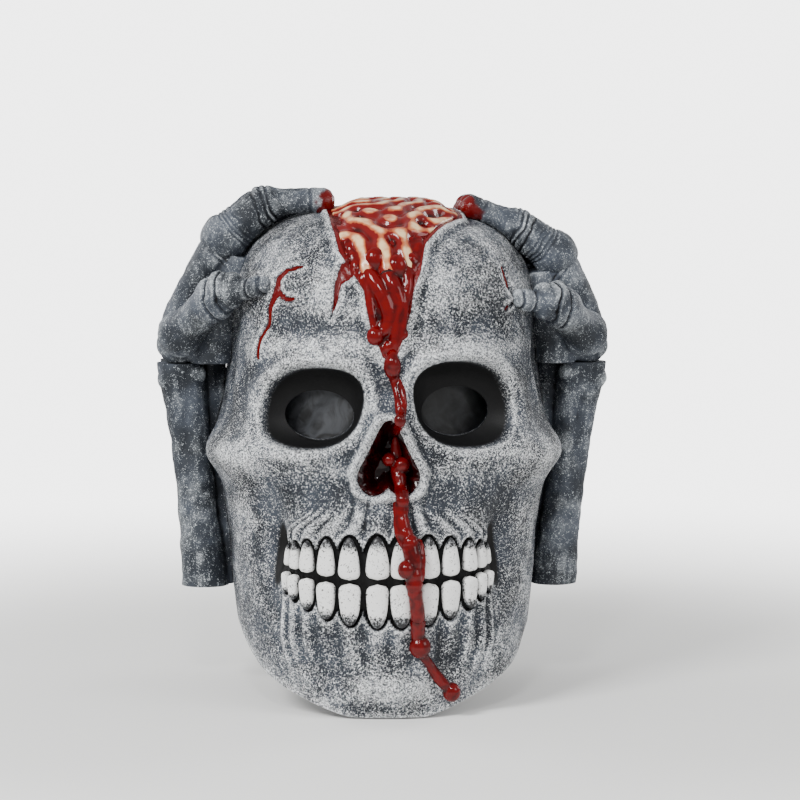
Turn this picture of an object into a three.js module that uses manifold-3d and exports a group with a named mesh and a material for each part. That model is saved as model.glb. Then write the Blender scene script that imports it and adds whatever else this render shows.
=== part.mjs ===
// A pull-over latex skull mask with a cracked-open crown, a brain insert, poured gore, two rows of
// teeth and a pair of skeleton hands gripping the head. The skin is a thin shell that is open below;
// two nape flaps beside a rear slit fold outwards so that a head can get in.
//
// Units are millimetres. +Z is up and the face looks along -Y, so the wearer's left is +X. The origin
// is the head seat: the middle of the crown pad's flat underside, where it rests on the wearer's head.
import * as THREE from "three";
import { mergeVertices } from "three/addons/utils/BufferGeometryUtils.js";
import Module from "manifold-3d";

const wasm = await Module();
wasm.setup();

// ---- Driving dimensions ----
const CROWN_Z = 20; // highest point of the skull skin
const EQUATOR_Z = -60; // where the dome ends and the face begins
const CHIN_Z = -268;
const HEM_Z = -205; // cut edge at the sides and the back
const HALF_WIDTH = 91.5; // of the skull at the equator
const FRONT_DEPTH = 101; // forehead in front of the head seat
const BACK_DEPTH = 116; // back of the skull behind it
const WALL = 3; // latex
const GAP = 0.4; // glue line or running clearance between two pieces
const SOCKET = { x: 41, z: -91, halfWidth: 28.5, halfHeight: 24, depth: 20 };
const EYE_HOLE = { halfWidth: 17, halfHeight: 12, drop: 3 };
const EYE_MESH_THICKNESS = 1.2;
const NOSE = { topZ: -99, wideZ: -127, bottomZ: -141, halfWidth: 17.5, depth: 16 };
const BITE_Z = -188;
const TOOTH_HEIGHT = 23;
const TOOTH_STANDOUT = 4; // in front of the gum
const MOUTH_HALF_WIDTH = 60;
const BRAIN_THICKNESS = 9;
const PAD = { radius: 32, thickness: 9 };
const SLIT = { topZ: -118, width: 1.6, stopHoleRadius: 6 }; // down the nape, from where both flap folds meet
const FLAP_FOOT_X = 70; // where a flap's fold meets the hem
const FOREARM_LENGTH = 133;
const FOREARM_Y = 8; // middle of the forearm, a little behind the head seat
const FOREARM_BONE_PITCH = 30; // front bone to back bone
const FOREARM_STANDOFF = 17; // from the skull's side to the middle of the forearm's cut end
const WRIST_STANDOFF = 29; // from the skull's side at the equator to the middle of the wrist
const FINGER_PITCH = 27; // knuckle to knuckle along Y
const INDEX_KNUCKLE_Y = -22;
const FINGERTIP_X = { right: 35, left: 52 }; // how far from the middle each hand's fingertips stop

// Radii of each long bone at its start, its waist and its end.
const NEAR_FINGER_BONE = [12.6, 9.5, 10.5];
const FAR_FINGER_BONE = [9.5, 6.5, 7];
const NEAR_THUMB_BONE = [12, 9, 11];
const FAR_THUMB_BONE = [9.5, 6.5, 6.5];
const HAND_BONE = [13, 10.5, 12];
const WRIST_BONES = [15, 15.5, 15];
const FRONT_FOREARM_BONE = [15, 12.5, 15];
const BACK_FOREARM_BONE = [14, 11, 14];
const FOREARM_WEB = [12, 12, 12];

// ---- The skull's surface ----
const SECTION_POWER = 2.35; // superellipse power of a level section
const DOME_POWER = 3; // and of the dome's upright profile

// Shares of the half width, front depth and back depth, by how far down a level is from the equator
// to the chin.
const STATIONS = [
  { down: 0, width: 1, front: 1, back: 1 },
  { down: 0.1, width: 1.03, front: 1.02, back: 1.02 },
  { down: 0.3, width: 1.07, front: 1.02, back: 0.98 },
  { down: 0.42, width: 1.04, front: 1.03, back: 0.93 },
  { down: 0.55, width: 1, front: 1.04, back: 0.87 },
  { down: 0.7, width: 0.975, front: 1.035, back: 0.8 },
  { down: 0.85, width: 0.93, front: 1.02, back: 0.74 },
  { down: 1, width: 0.86, front: 0.96, back: 0.68 },
];

const smooth = THREE.MathUtils.smoothstep;
const lerp = THREE.MathUtils.lerp;
const radians = THREE.MathUtils.degToRad;

// A smooth curve through the stations: a cubic with the neighbours' slope at each of them.
function stationShare(key, z) {
  const down = THREE.MathUtils.clamp((EQUATOR_Z - z) / (EQUATOR_Z - CHIN_Z), 0, 1);
  const last = STATIONS.length - 1;
  let i = 0;
  while (i < last - 1 && STATIONS[i + 1].down < down) i++;
  const slope = (k) => {
    const before = STATIONS[Math.max(k - 1, 0)];
    const after = STATIONS[Math.min(k + 1, last)];
    return k === 0 ? 0 : (after[key] - before[key]) / (after.down - before.down);
  };
  const span = STATIONS[i + 1].down - STATIONS[i].down;
  const t = (down - STATIONS[i].down) / span;
  const [p0, p1] = [STATIONS[i][key], STATIONS[i + 1][key]];
  const [m0, m1] = [slope(i) * span, slope(i + 1) * span];
  const a = 2 * p0 + m0 - 2 * p1 + m1;
  const b = -3 * p0 + 3 * p1 - 2 * m0 - m1;
  return ((a * t + b) * t + m0) * t + p0;
}

// Share of the equator's section that is left at height z of the dome.
function domeShare(z) {
  const h = THREE.MathUtils.clamp((z - EQUATOR_Z) / (CROWN_Z - EQUATOR_Z), 0, 1);
  return Math.pow(1 - Math.pow(h, DOME_POWER), 1 / DOME_POWER);
}

function section(z) {
  const dome = z > EQUATOR_Z ? domeShare(z) : 1;
  return {
    width: HALF_WIDTH * dome * stationShare("width", z),
    front: FRONT_DEPTH * dome * stationShare("front", z),
    back: BACK_DEPTH * dome * stationShare("back", z),
  };
}

// Distance from the axis to a section's edge, at angle theta from the front.
function reach(theta, { width, front, back }) {
  const depth = Math.cos(theta) >= 0 ? front : back;
  const n = SECTION_POWER;
  const sum =
    Math.pow(Math.abs(Math.cos(theta)) / depth, n) + Math.pow(Math.abs(Math.sin(theta)) / width, n);
  return Math.pow(sum, -1 / n);
}

const bump = (x, z, cx, cz, sx, sz) => Math.exp(-(((x - cx) / sx) ** 2) - ((z - cz) / sz) ** 2);

// How far the sculpted face stands out of the plain head, by where a point lies in the front view.
// It fades out behind the cheekbones.
function relief(x, y, z) {
  const side = Math.abs(x);
  const fade = smooth(-y, -25, 35);
  const brow = 4 * bump(side, z, SOCKET.x, SOCKET.z + 29, 34, 9);
  const cheekbone = 11 * bump(side, z, HALF_WIDTH * 0.92, SOCKET.z - 30, 27, 15);
  const cheekHollow = -7 * bump(side, z, MOUTH_HALF_WIDTH + 9, BITE_Z + 22, 13, 22);
  const muzzle = 5 * bump(side, z, 0, BITE_Z, 46, 34);
  const noseBridge = 6 * bump(side, z, 0, NOSE.topZ, 10, 16);
  const chin = 4 * bump(side, z, 0, CHIN_Z + 16, 30, 12);
  return fade * (brow + cheekbone + cheekHollow + muzzle + noseBridge + chin);
}

// Lower edge of the skin: the jaw line rises from the chin to the hem at the sides.
function rimHeight(theta) {
  const share = THREE.MathUtils.clamp((Math.abs(theta) - radians(12)) / radians(78), 0, 1);
  return lerp(CHIN_Z, HEM_Z, Math.pow(share, 1.25));
}

// The skin's point at angle theta from the front and share v of the way up from the rim to the crown,
// moved out by offset.
const EQUATOR_SHARE = 0.64;
function skinPoint(theta, v, offset) {
  let z;
  if (v <= EQUATOR_SHARE) {
    z = lerp(rimHeight(theta), EQUATOR_Z, v / EQUATOR_SHARE);
  } else {
    const rise = Math.sin(((v - EQUATOR_SHARE) / (1 - EQUATOR_SHARE)) * (Math.PI / 2));
    z = lerp(EQUATOR_Z, CROWN_Z, Math.pow(rise, 2 / DOME_POWER));
  }
  const r = reach(theta, section(z));
  const p = new THREE.Vector3(r * Math.sin(theta), -r * Math.cos(theta), z);
  const out = p.clone().setZ(Math.max(z - EQUATOR_Z, 0)).normalize();
  return p.addScaledVector(out, relief(p.x, p.y, p.z) + offset);
}

// Half width of the plain head at depth y and height z.
function sideX(y, z) {
  const { width, front, back } = section(z);
  const share = Math.min(Math.abs(y) / (y < 0 ? front : back), 0.98);
  return width * Math.pow(1 - Math.pow(share, SECTION_POWER), 1 / SECTION_POWER);
}

// Depth of the sculpted face in front of the head seat at x and z.
function faceY(x, z) {
  const { width, front } = section(z);
  const share = Math.min(Math.abs(x) / width, 0.98);
  const plain = front * Math.pow(1 - Math.pow(share, SECTION_POWER), 1 / SECTION_POWER);
  return -plain - relief(x, -plain, z);
}

// Height of the dome over x and y.
function domeZ(x, y) {
  const share = Math.min(Math.hypot(x, y) / reach(Math.atan2(x, -y), section(EQUATOR_Z)), 0.98);
  return lerp(EQUATOR_Z, CROWN_Z, Math.pow(1 - Math.pow(share, DOME_POWER), 1 / DOME_POWER));
}

// ---- Solids ----
function solidOf(geometry) {
  const g = geometry.clone();
  for (const name of Object.keys(g.attributes)) if (name !== "position") g.deleteAttribute(name);
  const merged = mergeVertices(g, 1e-4);
  return new wasm.Manifold(
    new wasm.Mesh({
      numProp: 3,
      vertProperties: new Float32Array(merged.attributes.position.array),
      triVerts: new Uint32Array(merged.index.array),
    }),
  );
}

function geometryOf(solid) {
  const mesh = solid.getMesh();
  const positions = new Float32Array(mesh.numVert * 3);
  for (let i = 0; i < mesh.numVert; i++) {
    positions.set(mesh.vertProperties.subarray(i * mesh.numProp, i * mesh.numProp + 3), i * 3);
  }
  const g = new THREE.BufferGeometry();
  g.setAttribute("position", new THREE.BufferAttribute(positions, 3));
  g.setIndex(new THREE.BufferAttribute(mesh.triVerts, 1));
  g.computeVertexNormals();
  return g;
}

// The largest body of a solid, so that a cut leaves no crumbs.
function mainBody(solid) {
  return solid.decompose().reduce((a, b) => (b.volume() > a.volume() ? b : a));
}

function unionOf(solids) {
  return solids.reduce((all, one) => all.add(one));
}

// A closed solid between two grids of points: pointAt gives row i, column j of the outer face (side 0)
// and of the inner one (side 1).
function slabOf(pointAt, columns, rows) {
  const positions = [];
  const at = (side, i, j) => side * columns * rows + i * columns + j;
  for (const side of [0, 1]) {
    for (let i = 0; i < rows; i++) {
      for (let j = 0; j < columns; j++) positions.push(...pointAt(side, i, j).toArray());
    }
  }
  const index = [];
  const quad = (a, b, c, d) => index.push(a, b, c, a, c, d);
  for (let i = 0; i + 1 < rows; i++) {
    for (let j = 0; j + 1 < columns; j++) {
      const outer = [at(0, i, j), at(0, i, j + 1), at(0, i + 1, j + 1), at(0, i + 1, j)];
      const inner = [at(1, i, j), at(1, i + 1, j), at(1, i + 1, j + 1), at(1, i, j + 1)];
      // The two halves are mirror images, down to the way each quad is split.
      const turn = j < (columns - 1) / 2 ? 0 : 1;
      for (const q of [outer, inner]) quad(q[turn], q[turn + 1], q[turn + 2], q[(turn + 3) % 4]);
    }
    const [left, right] = [0, columns - 1];
    quad(at(0, i, left), at(0, i + 1, left), at(1, i + 1, left), at(1, i, left));
    quad(at(0, i, right), at(1, i, right), at(1, i + 1, right), at(0, i + 1, right));
  }
  for (let j = 0; j + 1 < columns; j++) {
    const top = rows - 1;
    quad(at(0, 0, j), at(1, 0, j), at(1, 0, j + 1), at(0, 0, j + 1));
    quad(at(0, top, j), at(0, top, j + 1), at(1, top, j + 1), at(1, top, j));
  }
  const g = new THREE.BufferGeometry();
  g.setAttribute("position", new THREE.BufferAttribute(new Float32Array(positions), 3));
  g.setIndex(index);
  return solidOf(g);
}

const SKIN_ROWS = 18;
const SEAM_ANGLE = radians(101); // where the face casting meets the back casting
const rowShare = (i) => Math.min(i / (SKIN_ROWS - 1), 0.995); // the last row is a small ring around the pole

function anglesBetween(from, to, steps) {
  return Array.from({ length: steps + 1 }, (_, j) => lerp(from, to, j / steps));
}

function skinShell(angles) {
  return slabOf(
    (side, i, j) => skinPoint(angles[j], rowShare(i), side === 0 ? 0 : -WALL),
    angles.length,
    SKIN_ROWS,
  );
}

const seamGapAngle = GAP / 2 / HALF_WIDTH;
const FACE_ANGLES = anglesBetween(-SEAM_ANGLE + seamGapAngle, SEAM_ANGLE - seamGapAngle, 32);
const BACK_ANGLES = anglesBetween(SEAM_ANGLE + seamGapAngle, 2 * Math.PI - SEAM_ANGLE - seamGapAngle, 14);

// The whole head as one closed solid, moved out by offset, to cut what is glued on to the skin.
function headSolid(offset) {
  const angles = [...FACE_ANGLES, ...BACK_ANGLES];
  const positions = [];
  for (let i = 0; i < SKIN_ROWS; i++) {
    for (const theta of angles) positions.push(...skinPoint(theta, rowShare(i), offset).toArray());
  }
  const n = angles.length;
  const [low, high] = [n * SKIN_ROWS, n * SKIN_ROWS + 1];
  positions.push(0, 0, HEM_Z, 0, 0, CROWN_Z + offset);
  const index = [];
  for (let j = 0; j < n; j++) {
    const k = (j + 1) % n;
    // Each quad is split as it is on the castings, whose two halves are mirror images.
    const onBack = j >= FACE_ANGLES.length;
    const first = onBack ? FACE_ANGLES.length : 0;
    const last = (onBack ? n : FACE_ANGLES.length) - 1;
    const onRight = j >= (first + last) / 2;
    for (let i = 0; i + 1 < SKIN_ROWS; i++) {
      const [a, b, c, d] = [i * n + j, i * n + k, (i + 1) * n + k, (i + 1) * n + j];
      index.push(...(onRight ? [b, c, d, b, d, a] : [a, b, c, a, c, d]));
    }
    index.push(low, k, j, high, (SKIN_ROWS - 1) * n + j, (SKIN_ROWS - 1) * n + k);
  }
  const g = new THREE.BufferGeometry();
  g.setAttribute("position", new THREE.BufferAttribute(new Float32Array(positions), 3));
  g.setIndex(index);
  return solidOf(g);
}

// A prism with this outline in the plane across `along`, where the outline's first axis is +X.
function prism(outline, along, from, to) {
  const g = new THREE.ExtrudeGeometry(new THREE.Shape(outline), { depth: to - from, bevelEnabled: false });
  const zAxis = along.clone().normalize();
  const yAxis = zAxis.clone().cross(new THREE.Vector3(1, 0, 0));
  const basis = new THREE.Matrix4().makeBasis(new THREE.Vector3(1, 0, 0), yAxis, zAxis);
  g.translate(0, 0, from);
  g.applyMatrix4(basis);
  return solidOf(g);
}

// An outline drawn in by margin on every side.
function drawnIn(outline, margin) {
  const points = THREE.ShapeUtils.area(outline) > 0 ? outline : [...outline].reverse();
  const inwards = (from, to) => new THREE.Vector2(from.y - to.y, to.x - from.x).normalize();
  return points.map((p, i) => {
    const before = inwards(points.at(i - 1), p);
    const after = inwards(p, points[(i + 1) % points.length]);
    return p.clone().addScaledVector(before.clone().add(after), margin / (1 + before.dot(after)));
  });
}

function ellipse(cx, cz, halfWidth, halfHeight, points) {
  return Array.from({ length: points }, (_, i) => {
    const a = (i / points) * 2 * Math.PI;
    return new THREE.Vector2(cx + halfWidth * Math.cos(a), cz + halfHeight * Math.sin(a));
  });
}

// The same piece on the other side of the head.
function mirrored(solid) {
  const g = geometryOf(solid);
  g.scale(-1, 1, 1);
  g.index.array.reverse(); // keeps the faces pointing out
  return solidOf(g);
}

const FRONTWARDS = new THREE.Vector3(0, -1, 0); // a prism along this has +Z as its second axis
const BEYOND = 200; // past the whole head

// ---- Crown opening: a torn gap, in the plane across a line that leans forward from the crown ----
const TEAR_LEAN = radians(35);
const TEAR_AXIS = new THREE.Vector3(0, -Math.sin(TEAR_LEAN), Math.cos(TEAR_LEAN));
// Distance down the front, in the tear's plane, of the point (y, z).
const tearDown = (y, z) => -Math.cos(TEAR_LEAN) * y - Math.sin(TEAR_LEAN) * z;
const TEAR_FOOT = tearDown(-FRONT_DEPTH, EQUATOR_Z);
const BRAIN_FOOT = TEAR_FOOT - 38;
// The tear's outline as [x, distance down from its foot], up the wearer's right side and down the left.
const TEAR_RIGHT = [
  [-8, 0],
  [-12, -12],
  [-12, -22],
  [-19, -31],
  [-26, -44],
  [-30, -70],
  [-32, -100],
  [-26, -130],
];
const TEAR_LEFT = [
  [30, -142],
  [42, -115],
  [44, -90],
  [34, -74],
  [20, -48],
  [17, -31],
  [13, -22],
  [13, -12],
  [8, 0],
];
const TEAR = [...TEAR_RIGHT, [4, -152], ...TEAR_LEFT].map(([x, down]) => [x, down + TEAR_FOOT]);

const tearOutline = (margin) => drawnIn(TEAR.map(([x, down]) => new THREE.Vector2(x, -down)), margin);
const tearCutter = prism(tearOutline(0), TEAR_AXIS, -10, BEYOND);
const DOWN_THE_FRONT = [0, -Math.cos(TEAR_LEAN), -Math.sin(TEAR_LEAN)];
const UP_THE_FRONT = DOWN_THE_FRONT.map((c) => -c);

// What fills the tear, between two skins of the head.
function tearFilling(outside, inside) {
  const cutter = prism(tearOutline(GAP), TEAR_AXIS, -10, BEYOND);
  return headSolid(outside).intersect(cutter).subtract(headSolid(inside));
}

function makeBrain() {
  return mainBody(tearFilling(1, -BRAIN_THICKNESS).trimByPlane(UP_THE_FRONT, GAP - BRAIN_FOOT));
}

function makeForeheadGore() {
  return mainBody(tearFilling(1.5, -WALL).trimByPlane(DOWN_THE_FRONT, BRAIN_FOOT));
}

// ---- Skin castings ----
function noseOutline(margin) {
  const w = NOSE.halfWidth;
  const half = [
    [w * 0.3, NOSE.bottomZ],
    [w * 0.8, NOSE.bottomZ + 4],
    [w, NOSE.wideZ],
    [w * 0.62, lerp(NOSE.topZ, NOSE.wideZ, 0.55)],
    [3, NOSE.topZ],
  ];
  const whole = [...half, ...half.map(([x, z]) => [-x, z]).reverse()];
  return drawnIn(whole.map(([x, z]) => new THREE.Vector2(x, z)), -margin);
}

// Turns a shape drawn around +Z so that it points out of the wearer's left eye socket, and moves it out
// by distance from the head's upright axis.
const socketReach = Math.hypot(SOCKET.x, faceY(SOCKET.x, SOCKET.z));
const socketAxis = new THREE.Vector3(SOCKET.x, faceY(SOCKET.x, SOCKET.z), 0).normalize();
function intoSocket(g, distance, drop) {
  const across = new THREE.Vector3(-socketAxis.y, socketAxis.x, 0);
  g.applyMatrix4(new THREE.Matrix4().makeBasis(across, new THREE.Vector3(0, 0, 1), socketAxis));
  g.translate(socketAxis.x * distance, socketAxis.y * distance, SOCKET.z - drop);
  return solidOf(g);
}

// The bowl of an eye socket, with its wall grown by margin.
function socketBowl(margin) {
  const g = new THREE.SphereGeometry(1, 18, 8);
  g.rotateX(Math.PI / 2);
  g.scale(SOCKET.halfWidth + margin, SOCKET.halfHeight + margin, SOCKET.depth + margin);
  return intoSocket(g, socketReach, 0);
}

function eyePrism(margin) {
  const g = new THREE.CylinderGeometry(1, 1, socketReach, 16);
  g.rotateX(Math.PI / 2);
  g.scale(EYE_HOLE.halfWidth + margin, EYE_HOLE.halfHeight + margin, 1);
  return intoSocket(g, socketReach / 2, EYE_HOLE.drop);
}

function makeFace() {
  const cup = socketBowl(WALL).intersect(headSolid(-GAP / 2));
  const bowl = socketBowl(0).add(eyePrism(0));
  const nose = prism(noseOutline(0), FRONTWARDS, 40, BEYOND);
  const skin = unionOf([skinShell(FACE_ANGLES), cup, mirrored(cup)]);
  return mainBody(skin.subtract(unionOf([bowl, mirrored(bowl), nose, tearCutter])));
}

// A nape flap's triangle in the rear view: the slit's top, then past the hem at the slit and at the fold.
function flapOutline(slitX, margin) {
  const below = HEM_Z - 60;
  const foldX = (FLAP_FOOT_X * (SLIT.topZ - below)) / (SLIT.topZ - HEM_Z);
  const corners = [[slitX, SLIT.topZ], [slitX, below], [foldX, below]];
  return drawnIn(corners.map(([x, z]) => new THREE.Vector2(x, -z)), margin);
}

const BACKWARDS = new THREE.Vector3(0, 1, 0); // a prism along this has -Z as its second axis
const backShell = skinShell(BACK_ANGLES);
const slit = makeSlit();

// The slit down the nape. A drop-shaped hole at its top keeps it from tearing and gives the flaps' tips
// room to turn.
function makeSlit() {
  const { topZ, stopHoleRadius: r, width } = SLIT;
  const hole = prism(ellipse(0, r - topZ, r, r, 12), BACKWARDS, 5, BEYOND);
  const right = [[r * 0.75, r * 1.5 - topZ], [width / 2, r * 6 - topZ], [width / 2, BEYOND * 2]];
  const corners = [...right, ...right.map(([x, down]) => [-x, down]).reverse()];
  return hole.add(prism(corners.map(([x, down]) => new THREE.Vector2(x, down)), BACKWARDS, 5, BEYOND));
}

function makeBack() {
  const room = prism(flapOutline(-GAP, 0), BACKWARDS, 5, BEYOND);
  const cuts = unionOf([room, mirrored(room), slit, tearCutter]);
  return mainBody(backShell.subtract(cuts));
}

function makeFlap() {
  return mainBody(backShell.intersect(prism(flapOutline(0, GAP), BACKWARDS, 5, BEYOND)).subtract(slit));
}

// ---- Pieces inside the mask ----
// A patch of gauze over the back of the eye hole.
function makeEyeMesh() {
  const inner = WALL + GAP;
  const layer = socketBowl(inner + EYE_MESH_THICKNESS).subtract(socketBowl(inner));
  return mainBody(layer.intersect(eyePrism(4)));
}

function makeNasalLining() {
  const front = -faceY(0, NOSE.wideZ) - WALL - GAP - 2;
  const cup = prism(noseOutline(4), FRONTWARDS, front - NOSE.depth, front);
  const hollow = prism(noseOutline(1), FRONTWARDS, front - NOSE.depth + 2, BEYOND);
  return mainBody(cup.subtract(hollow).intersect(headSolid(-WALL - GAP)));
}

function makeCrownPad() {
  const top = PAD.thickness;
  const profile = [[0, 0], [PAD.radius, 0], [PAD.radius, top - 3], [PAD.radius - 3, top], [0, top]];
  const g = new THREE.LatheGeometry(profile.map(([x, y]) => new THREE.Vector2(x, y)), 20);
  g.rotateX(Math.PI / 2);
  return solidOf(g).intersect(headSolid(-BRAIN_THICKNESS - GAP));
}

// ---- Teeth and gore runs: pieces stuck on the outside ----
const onSkin = (solid) => mainBody(solid.subtract(headSolid(GAP)));

// Places of the tooth centres in the front view, on one side of the middle, with each one's half width.
const TOOTH_SHARES = [
  { x: 0.11, half: 0.095 },
  { x: 0.365, half: 0.088 },
  { x: 0.58, half: 0.075 },
  { x: 0.765, half: 0.06 },
  { x: 0.89, half: 0.045 },
  { x: 0.975, half: 0.03 },
];

// The teeth of one row, each drawn out by margin. way is 1 for the upper row and -1 for the lower.
function toothBlocks(way, margin) {
  const root = BITE_Z + way * (TOOTH_HEIGHT + 1);
  const bite = BITE_Z + way * 1.2;
  const shoulder = lerp(bite, root, 0.6);
  return unionOf(
    [-1, 1].flatMap((side) =>
      TOOTH_SHARES.map(({ x, half }) => {
        const cx = side * x * MOUTH_HALF_WIDTH;
        const w = half * MOUTH_HALF_WIDTH;
        const outline = [[cx - w, bite], [cx + w, bite], [cx + w, shoulder], [cx, root], [cx - w, shoulder]];
        const front = -faceY(cx, shoulder);
        const corners = outline.map(([px, pz]) => new THREE.Vector2(px, pz));
        return prism(drawnIn(corners, -margin), FRONTWARDS, front - 6, front + TOOTH_STANDOUT + margin);
      }),
    ),
  );
}

// The gum bar behind a row, following the muzzle.
function gumBar(way, margin) {
  const middle = BITE_Z + (way * TOOTH_HEIGHT) / 2;
  const half = TOOTH_HEIGHT * 0.35 + margin;
  const heights = [middle - half, middle + half];
  const xs = anglesBetween(-MOUTH_HALF_WIDTH, MOUTH_HALF_WIDTH, 14);
  const out = [2 + margin, -3];
  return slabOf(
    (side, i, j) => new THREE.Vector3(xs[j], faceY(xs[j], heights[i]) - out[side], heights[i]),
    xs.length,
    heights.length,
  );
}

const toothRow = (way, margin) => gumBar(way, margin).add(toothBlocks(way, margin));

// Runs of thick gore, as points [x, z, standoff] from the top, with beads [x, z, radius] where it swelled.
const BROW_RUN = {
  radius: 3.4,
  points: [[2, -70, 0], [3, -79, 0], [4, -88, 0], [4, -96, 0]],
  beads: [[3, -68, 4.8], [4, -95, 3.8]],
};
const LONG_RUN = {
  radius: 4,
  points: [
    [5, -145, 0],
    [7, -156, 1],
    [10, -166, 5],
    [12, -190, 5],
    [14, -208, 5],
    [15, -218, 1],
    [17, -232, 0],
    [23, -250, 0],
  ],
  beads: [[6, -147, 4.8], [9, -160, 5], [12, -188, 7], [17, -226, 6.5], [24, -251, 5.4]],
};

function makeRun({ radius, points, beads }) {
  const onFace = ([x, z, out]) => new THREE.Vector3(x, faceY(x, z) - out, z);
  const path = new THREE.CatmullRomCurve3(points.map(onFace));
  const circle = new THREE.Shape(ellipse(0, 0, radius, radius, 6));
  const steps = Math.round(points.length * 1.5);
  const tube = new THREE.ExtrudeGeometry(circle, { steps, extrudePath: path, bevelEnabled: false });
  const balls = beads.map(([x, z, r]) => {
    const g = new THREE.SphereGeometry(r, 8, 6);
    const nearest = points.reduce((a, b) => (Math.abs(b[1] - z) < Math.abs(a[1] - z) ? b : a));
    g.translate(x, faceY(x, z) - nearest[2], z);
    return solidOf(g);
  });
  const teeth = toothRow(1, GAP).add(toothRow(-1, GAP));
  return onSkin(unionOf([solidOf(tube), ...balls]).subtract(teeth));
}

// ---- Skeleton hands, built for the wearer's left (+X) and mirrored for the right ----
const BONE_SIDES = 8;

// A long bone as a turned shape between two joints: ball ends and a waist. grow makes the room it needs.
function bone(from, to, [startRadius, waist, endRadius], grow = 0) {
  const length = from.distanceTo(to);
  const profile = [
    [0, -startRadius * 0.7 - grow],
    [startRadius * 0.75 + grow, -startRadius * 0.4],
    [startRadius + grow, startRadius * 0.25],
    [waist + grow, length * 0.42],
    [waist + grow, length * 0.6],
    [endRadius + grow, length - endRadius * 0.25],
    [endRadius * 0.75 + grow, length + endRadius * 0.4],
    [0, length + endRadius * 0.7 + grow],
  ];
  const g = new THREE.LatheGeometry(profile.map(([r, s]) => new THREE.Vector2(r, s)), BONE_SIDES);
  const along = to.clone().sub(from).normalize();
  g.applyQuaternion(new THREE.Quaternion().setFromUnitVectors(new THREE.Vector3(0, 1, 0), along));
  g.translate(from.x, from.y, from.z);
  return solidOf(g);
}

const WRIST_Z = HEM_Z + FOREARM_LENGTH;
const beside = (y, z, standoff) => new THREE.Vector3(sideX(y, z) + standoff, y, z);
const above = (x, y, standoff) => new THREE.Vector3(x, y, domeZ(x, y) + standoff);
const besideWrist = (y, rise) => new THREE.Vector3(HALF_WIDTH + WRIST_STANDOFF, y, WRIST_Z + rise);

// Joints of a finger: knuckle beside the head, middle joint arched over the dome's shoulder, and the tip,
// which presses on the skin beside the tear.
function fingerJoints(index, tipX) {
  const y = INDEX_KNUCKLE_Y + index * FINGER_PITCH;
  const tipY = y * 0.92 - 6;
  const shoulderX = lerp(tipX, HALF_WIDTH, 0.6);
  const knuckle = beside(y, 2, NEAR_FINGER_BONE[0] + 8.5);
  const middle = above(shoulderX, (y + tipY) / 2, NEAR_FINGER_BONE[2] + 7.5);
  return [knuckle, middle, above(tipX, tipY, FAR_FINGER_BONE[2] - 0.5)];
}

function finger(index, tipX, grow = 0) {
  const [knuckle, middle, tip] = fingerJoints(index, tipX);
  return bone(knuckle, middle, NEAR_FINGER_BONE, grow).add(bone(middle, tip, FAR_FINGER_BONE, grow));
}

// The thumb reaches forward from the wrist and presses into the temple.
function thumb(grow = 0) {
  const root = besideWrist(FOREARM_Y - 28, 16);
  const knuckle = new THREE.Vector3(HALF_WIDTH + 4, -52, WRIST_Z + 41);
  const tipX = HALF_WIDTH * 0.74;
  const tip = new THREE.Vector3(tipX, faceY(tipX, WRIST_Z + 44) - 3, WRIST_Z + 44);
  return bone(root, knuckle, NEAR_THUMB_BONE, grow).add(bone(knuckle, tip, FAR_THUMB_BONE, grow));
}

// The wrist bones across the forearm's end and four splayed bones up to the knuckles.
function handBack(tipX) {
  const splayed = [0, 1, 2, 3].map((index) => {
    const start = besideWrist(FOREARM_Y + (index - 1.5) * 13, HAND_BONE[0] * 2);
    const knuckle = fingerJoints(index, tipX)[0];
    const towardsWrist = start.clone().sub(knuckle).setLength(NEAR_FINGER_BONE[0]);
    return bone(start, knuckle.add(towardsWrist), HAND_BONE);
  });
  const halfWrist = FOREARM_BONE_PITCH * 0.6;
  const wristRise = WRIST_BONES[0] * 0.75;
  const wrist = bone(
    besideWrist(FOREARM_Y - halfWrist, wristRise),
    besideWrist(FOREARM_Y + halfWrist, wristRise),
    WRIST_BONES,
  );
  const fingers = [0, 1, 2, 3].map((index) => finger(index, tipX, GAP));
  const room = unionOf([...fingers, thumb(GAP), headSolid(GAP)]);
  return mainBody(unionOf([wrist, ...splayed]).subtract(room).trimByPlane([0, 0, 1], WRIST_Z + GAP));
}

// Two long bones, and a web between them that reaches in to the skull. All are cut off level at the hem
// and at the wrist.
function forearm() {
  const longBone = (y, radii, inwards) => {
    const low = beside(y, HEM_Z, FOREARM_STANDOFF - inwards).setZ(HEM_Z - radii[0]);
    const high = besideWrist(y, 6).setX(HALF_WIDTH + WRIST_STANDOFF - inwards);
    return bone(low, high, radii);
  };
  const front = longBone(FOREARM_Y - FOREARM_BONE_PITCH / 2, FRONT_FOREARM_BONE, 0);
  const back = longBone(FOREARM_Y + FOREARM_BONE_PITCH / 2, BACK_FOREARM_BONE, 0);
  const webInwards = FOREARM_STANDOFF - FOREARM_WEB[0] * 0.8;
  const whole = unionOf([front, back, longBone(FOREARM_Y, FOREARM_WEB, webInwards)]);
  const cut = whole.trimByPlane([0, 0, 1], HEM_Z).trimByPlane([0, 0, -1], -WRIST_Z);
  return mainBody(cut.subtract(headSolid(GAP)));
}

// ---- Assembly ----
function finish(name, color, roughness) {
  return new THREE.MeshStandardMaterial({ name, color, roughness, metalness: 0 });
}

const LATEX = finish("bone_grey_latex", 0x5b5f66, 0.75);
const HAND_LATEX = finish("dark_grey_latex", 0x45494f, 0.7);
const TOOTH = finish("tooth_white_latex", 0xdcdad2, 0.55);
const BRAIN = finish("brain_latex", 0xe2a887, 0.3);
const GORE = finish("gloss_gore", 0x8e0f12, 0.12);
const GAUZE = finish("black_gauze", 0x141416, 0.95);
const FOAM = finish("charcoal_foam", 0x2b2b2e, 0.95);

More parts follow.
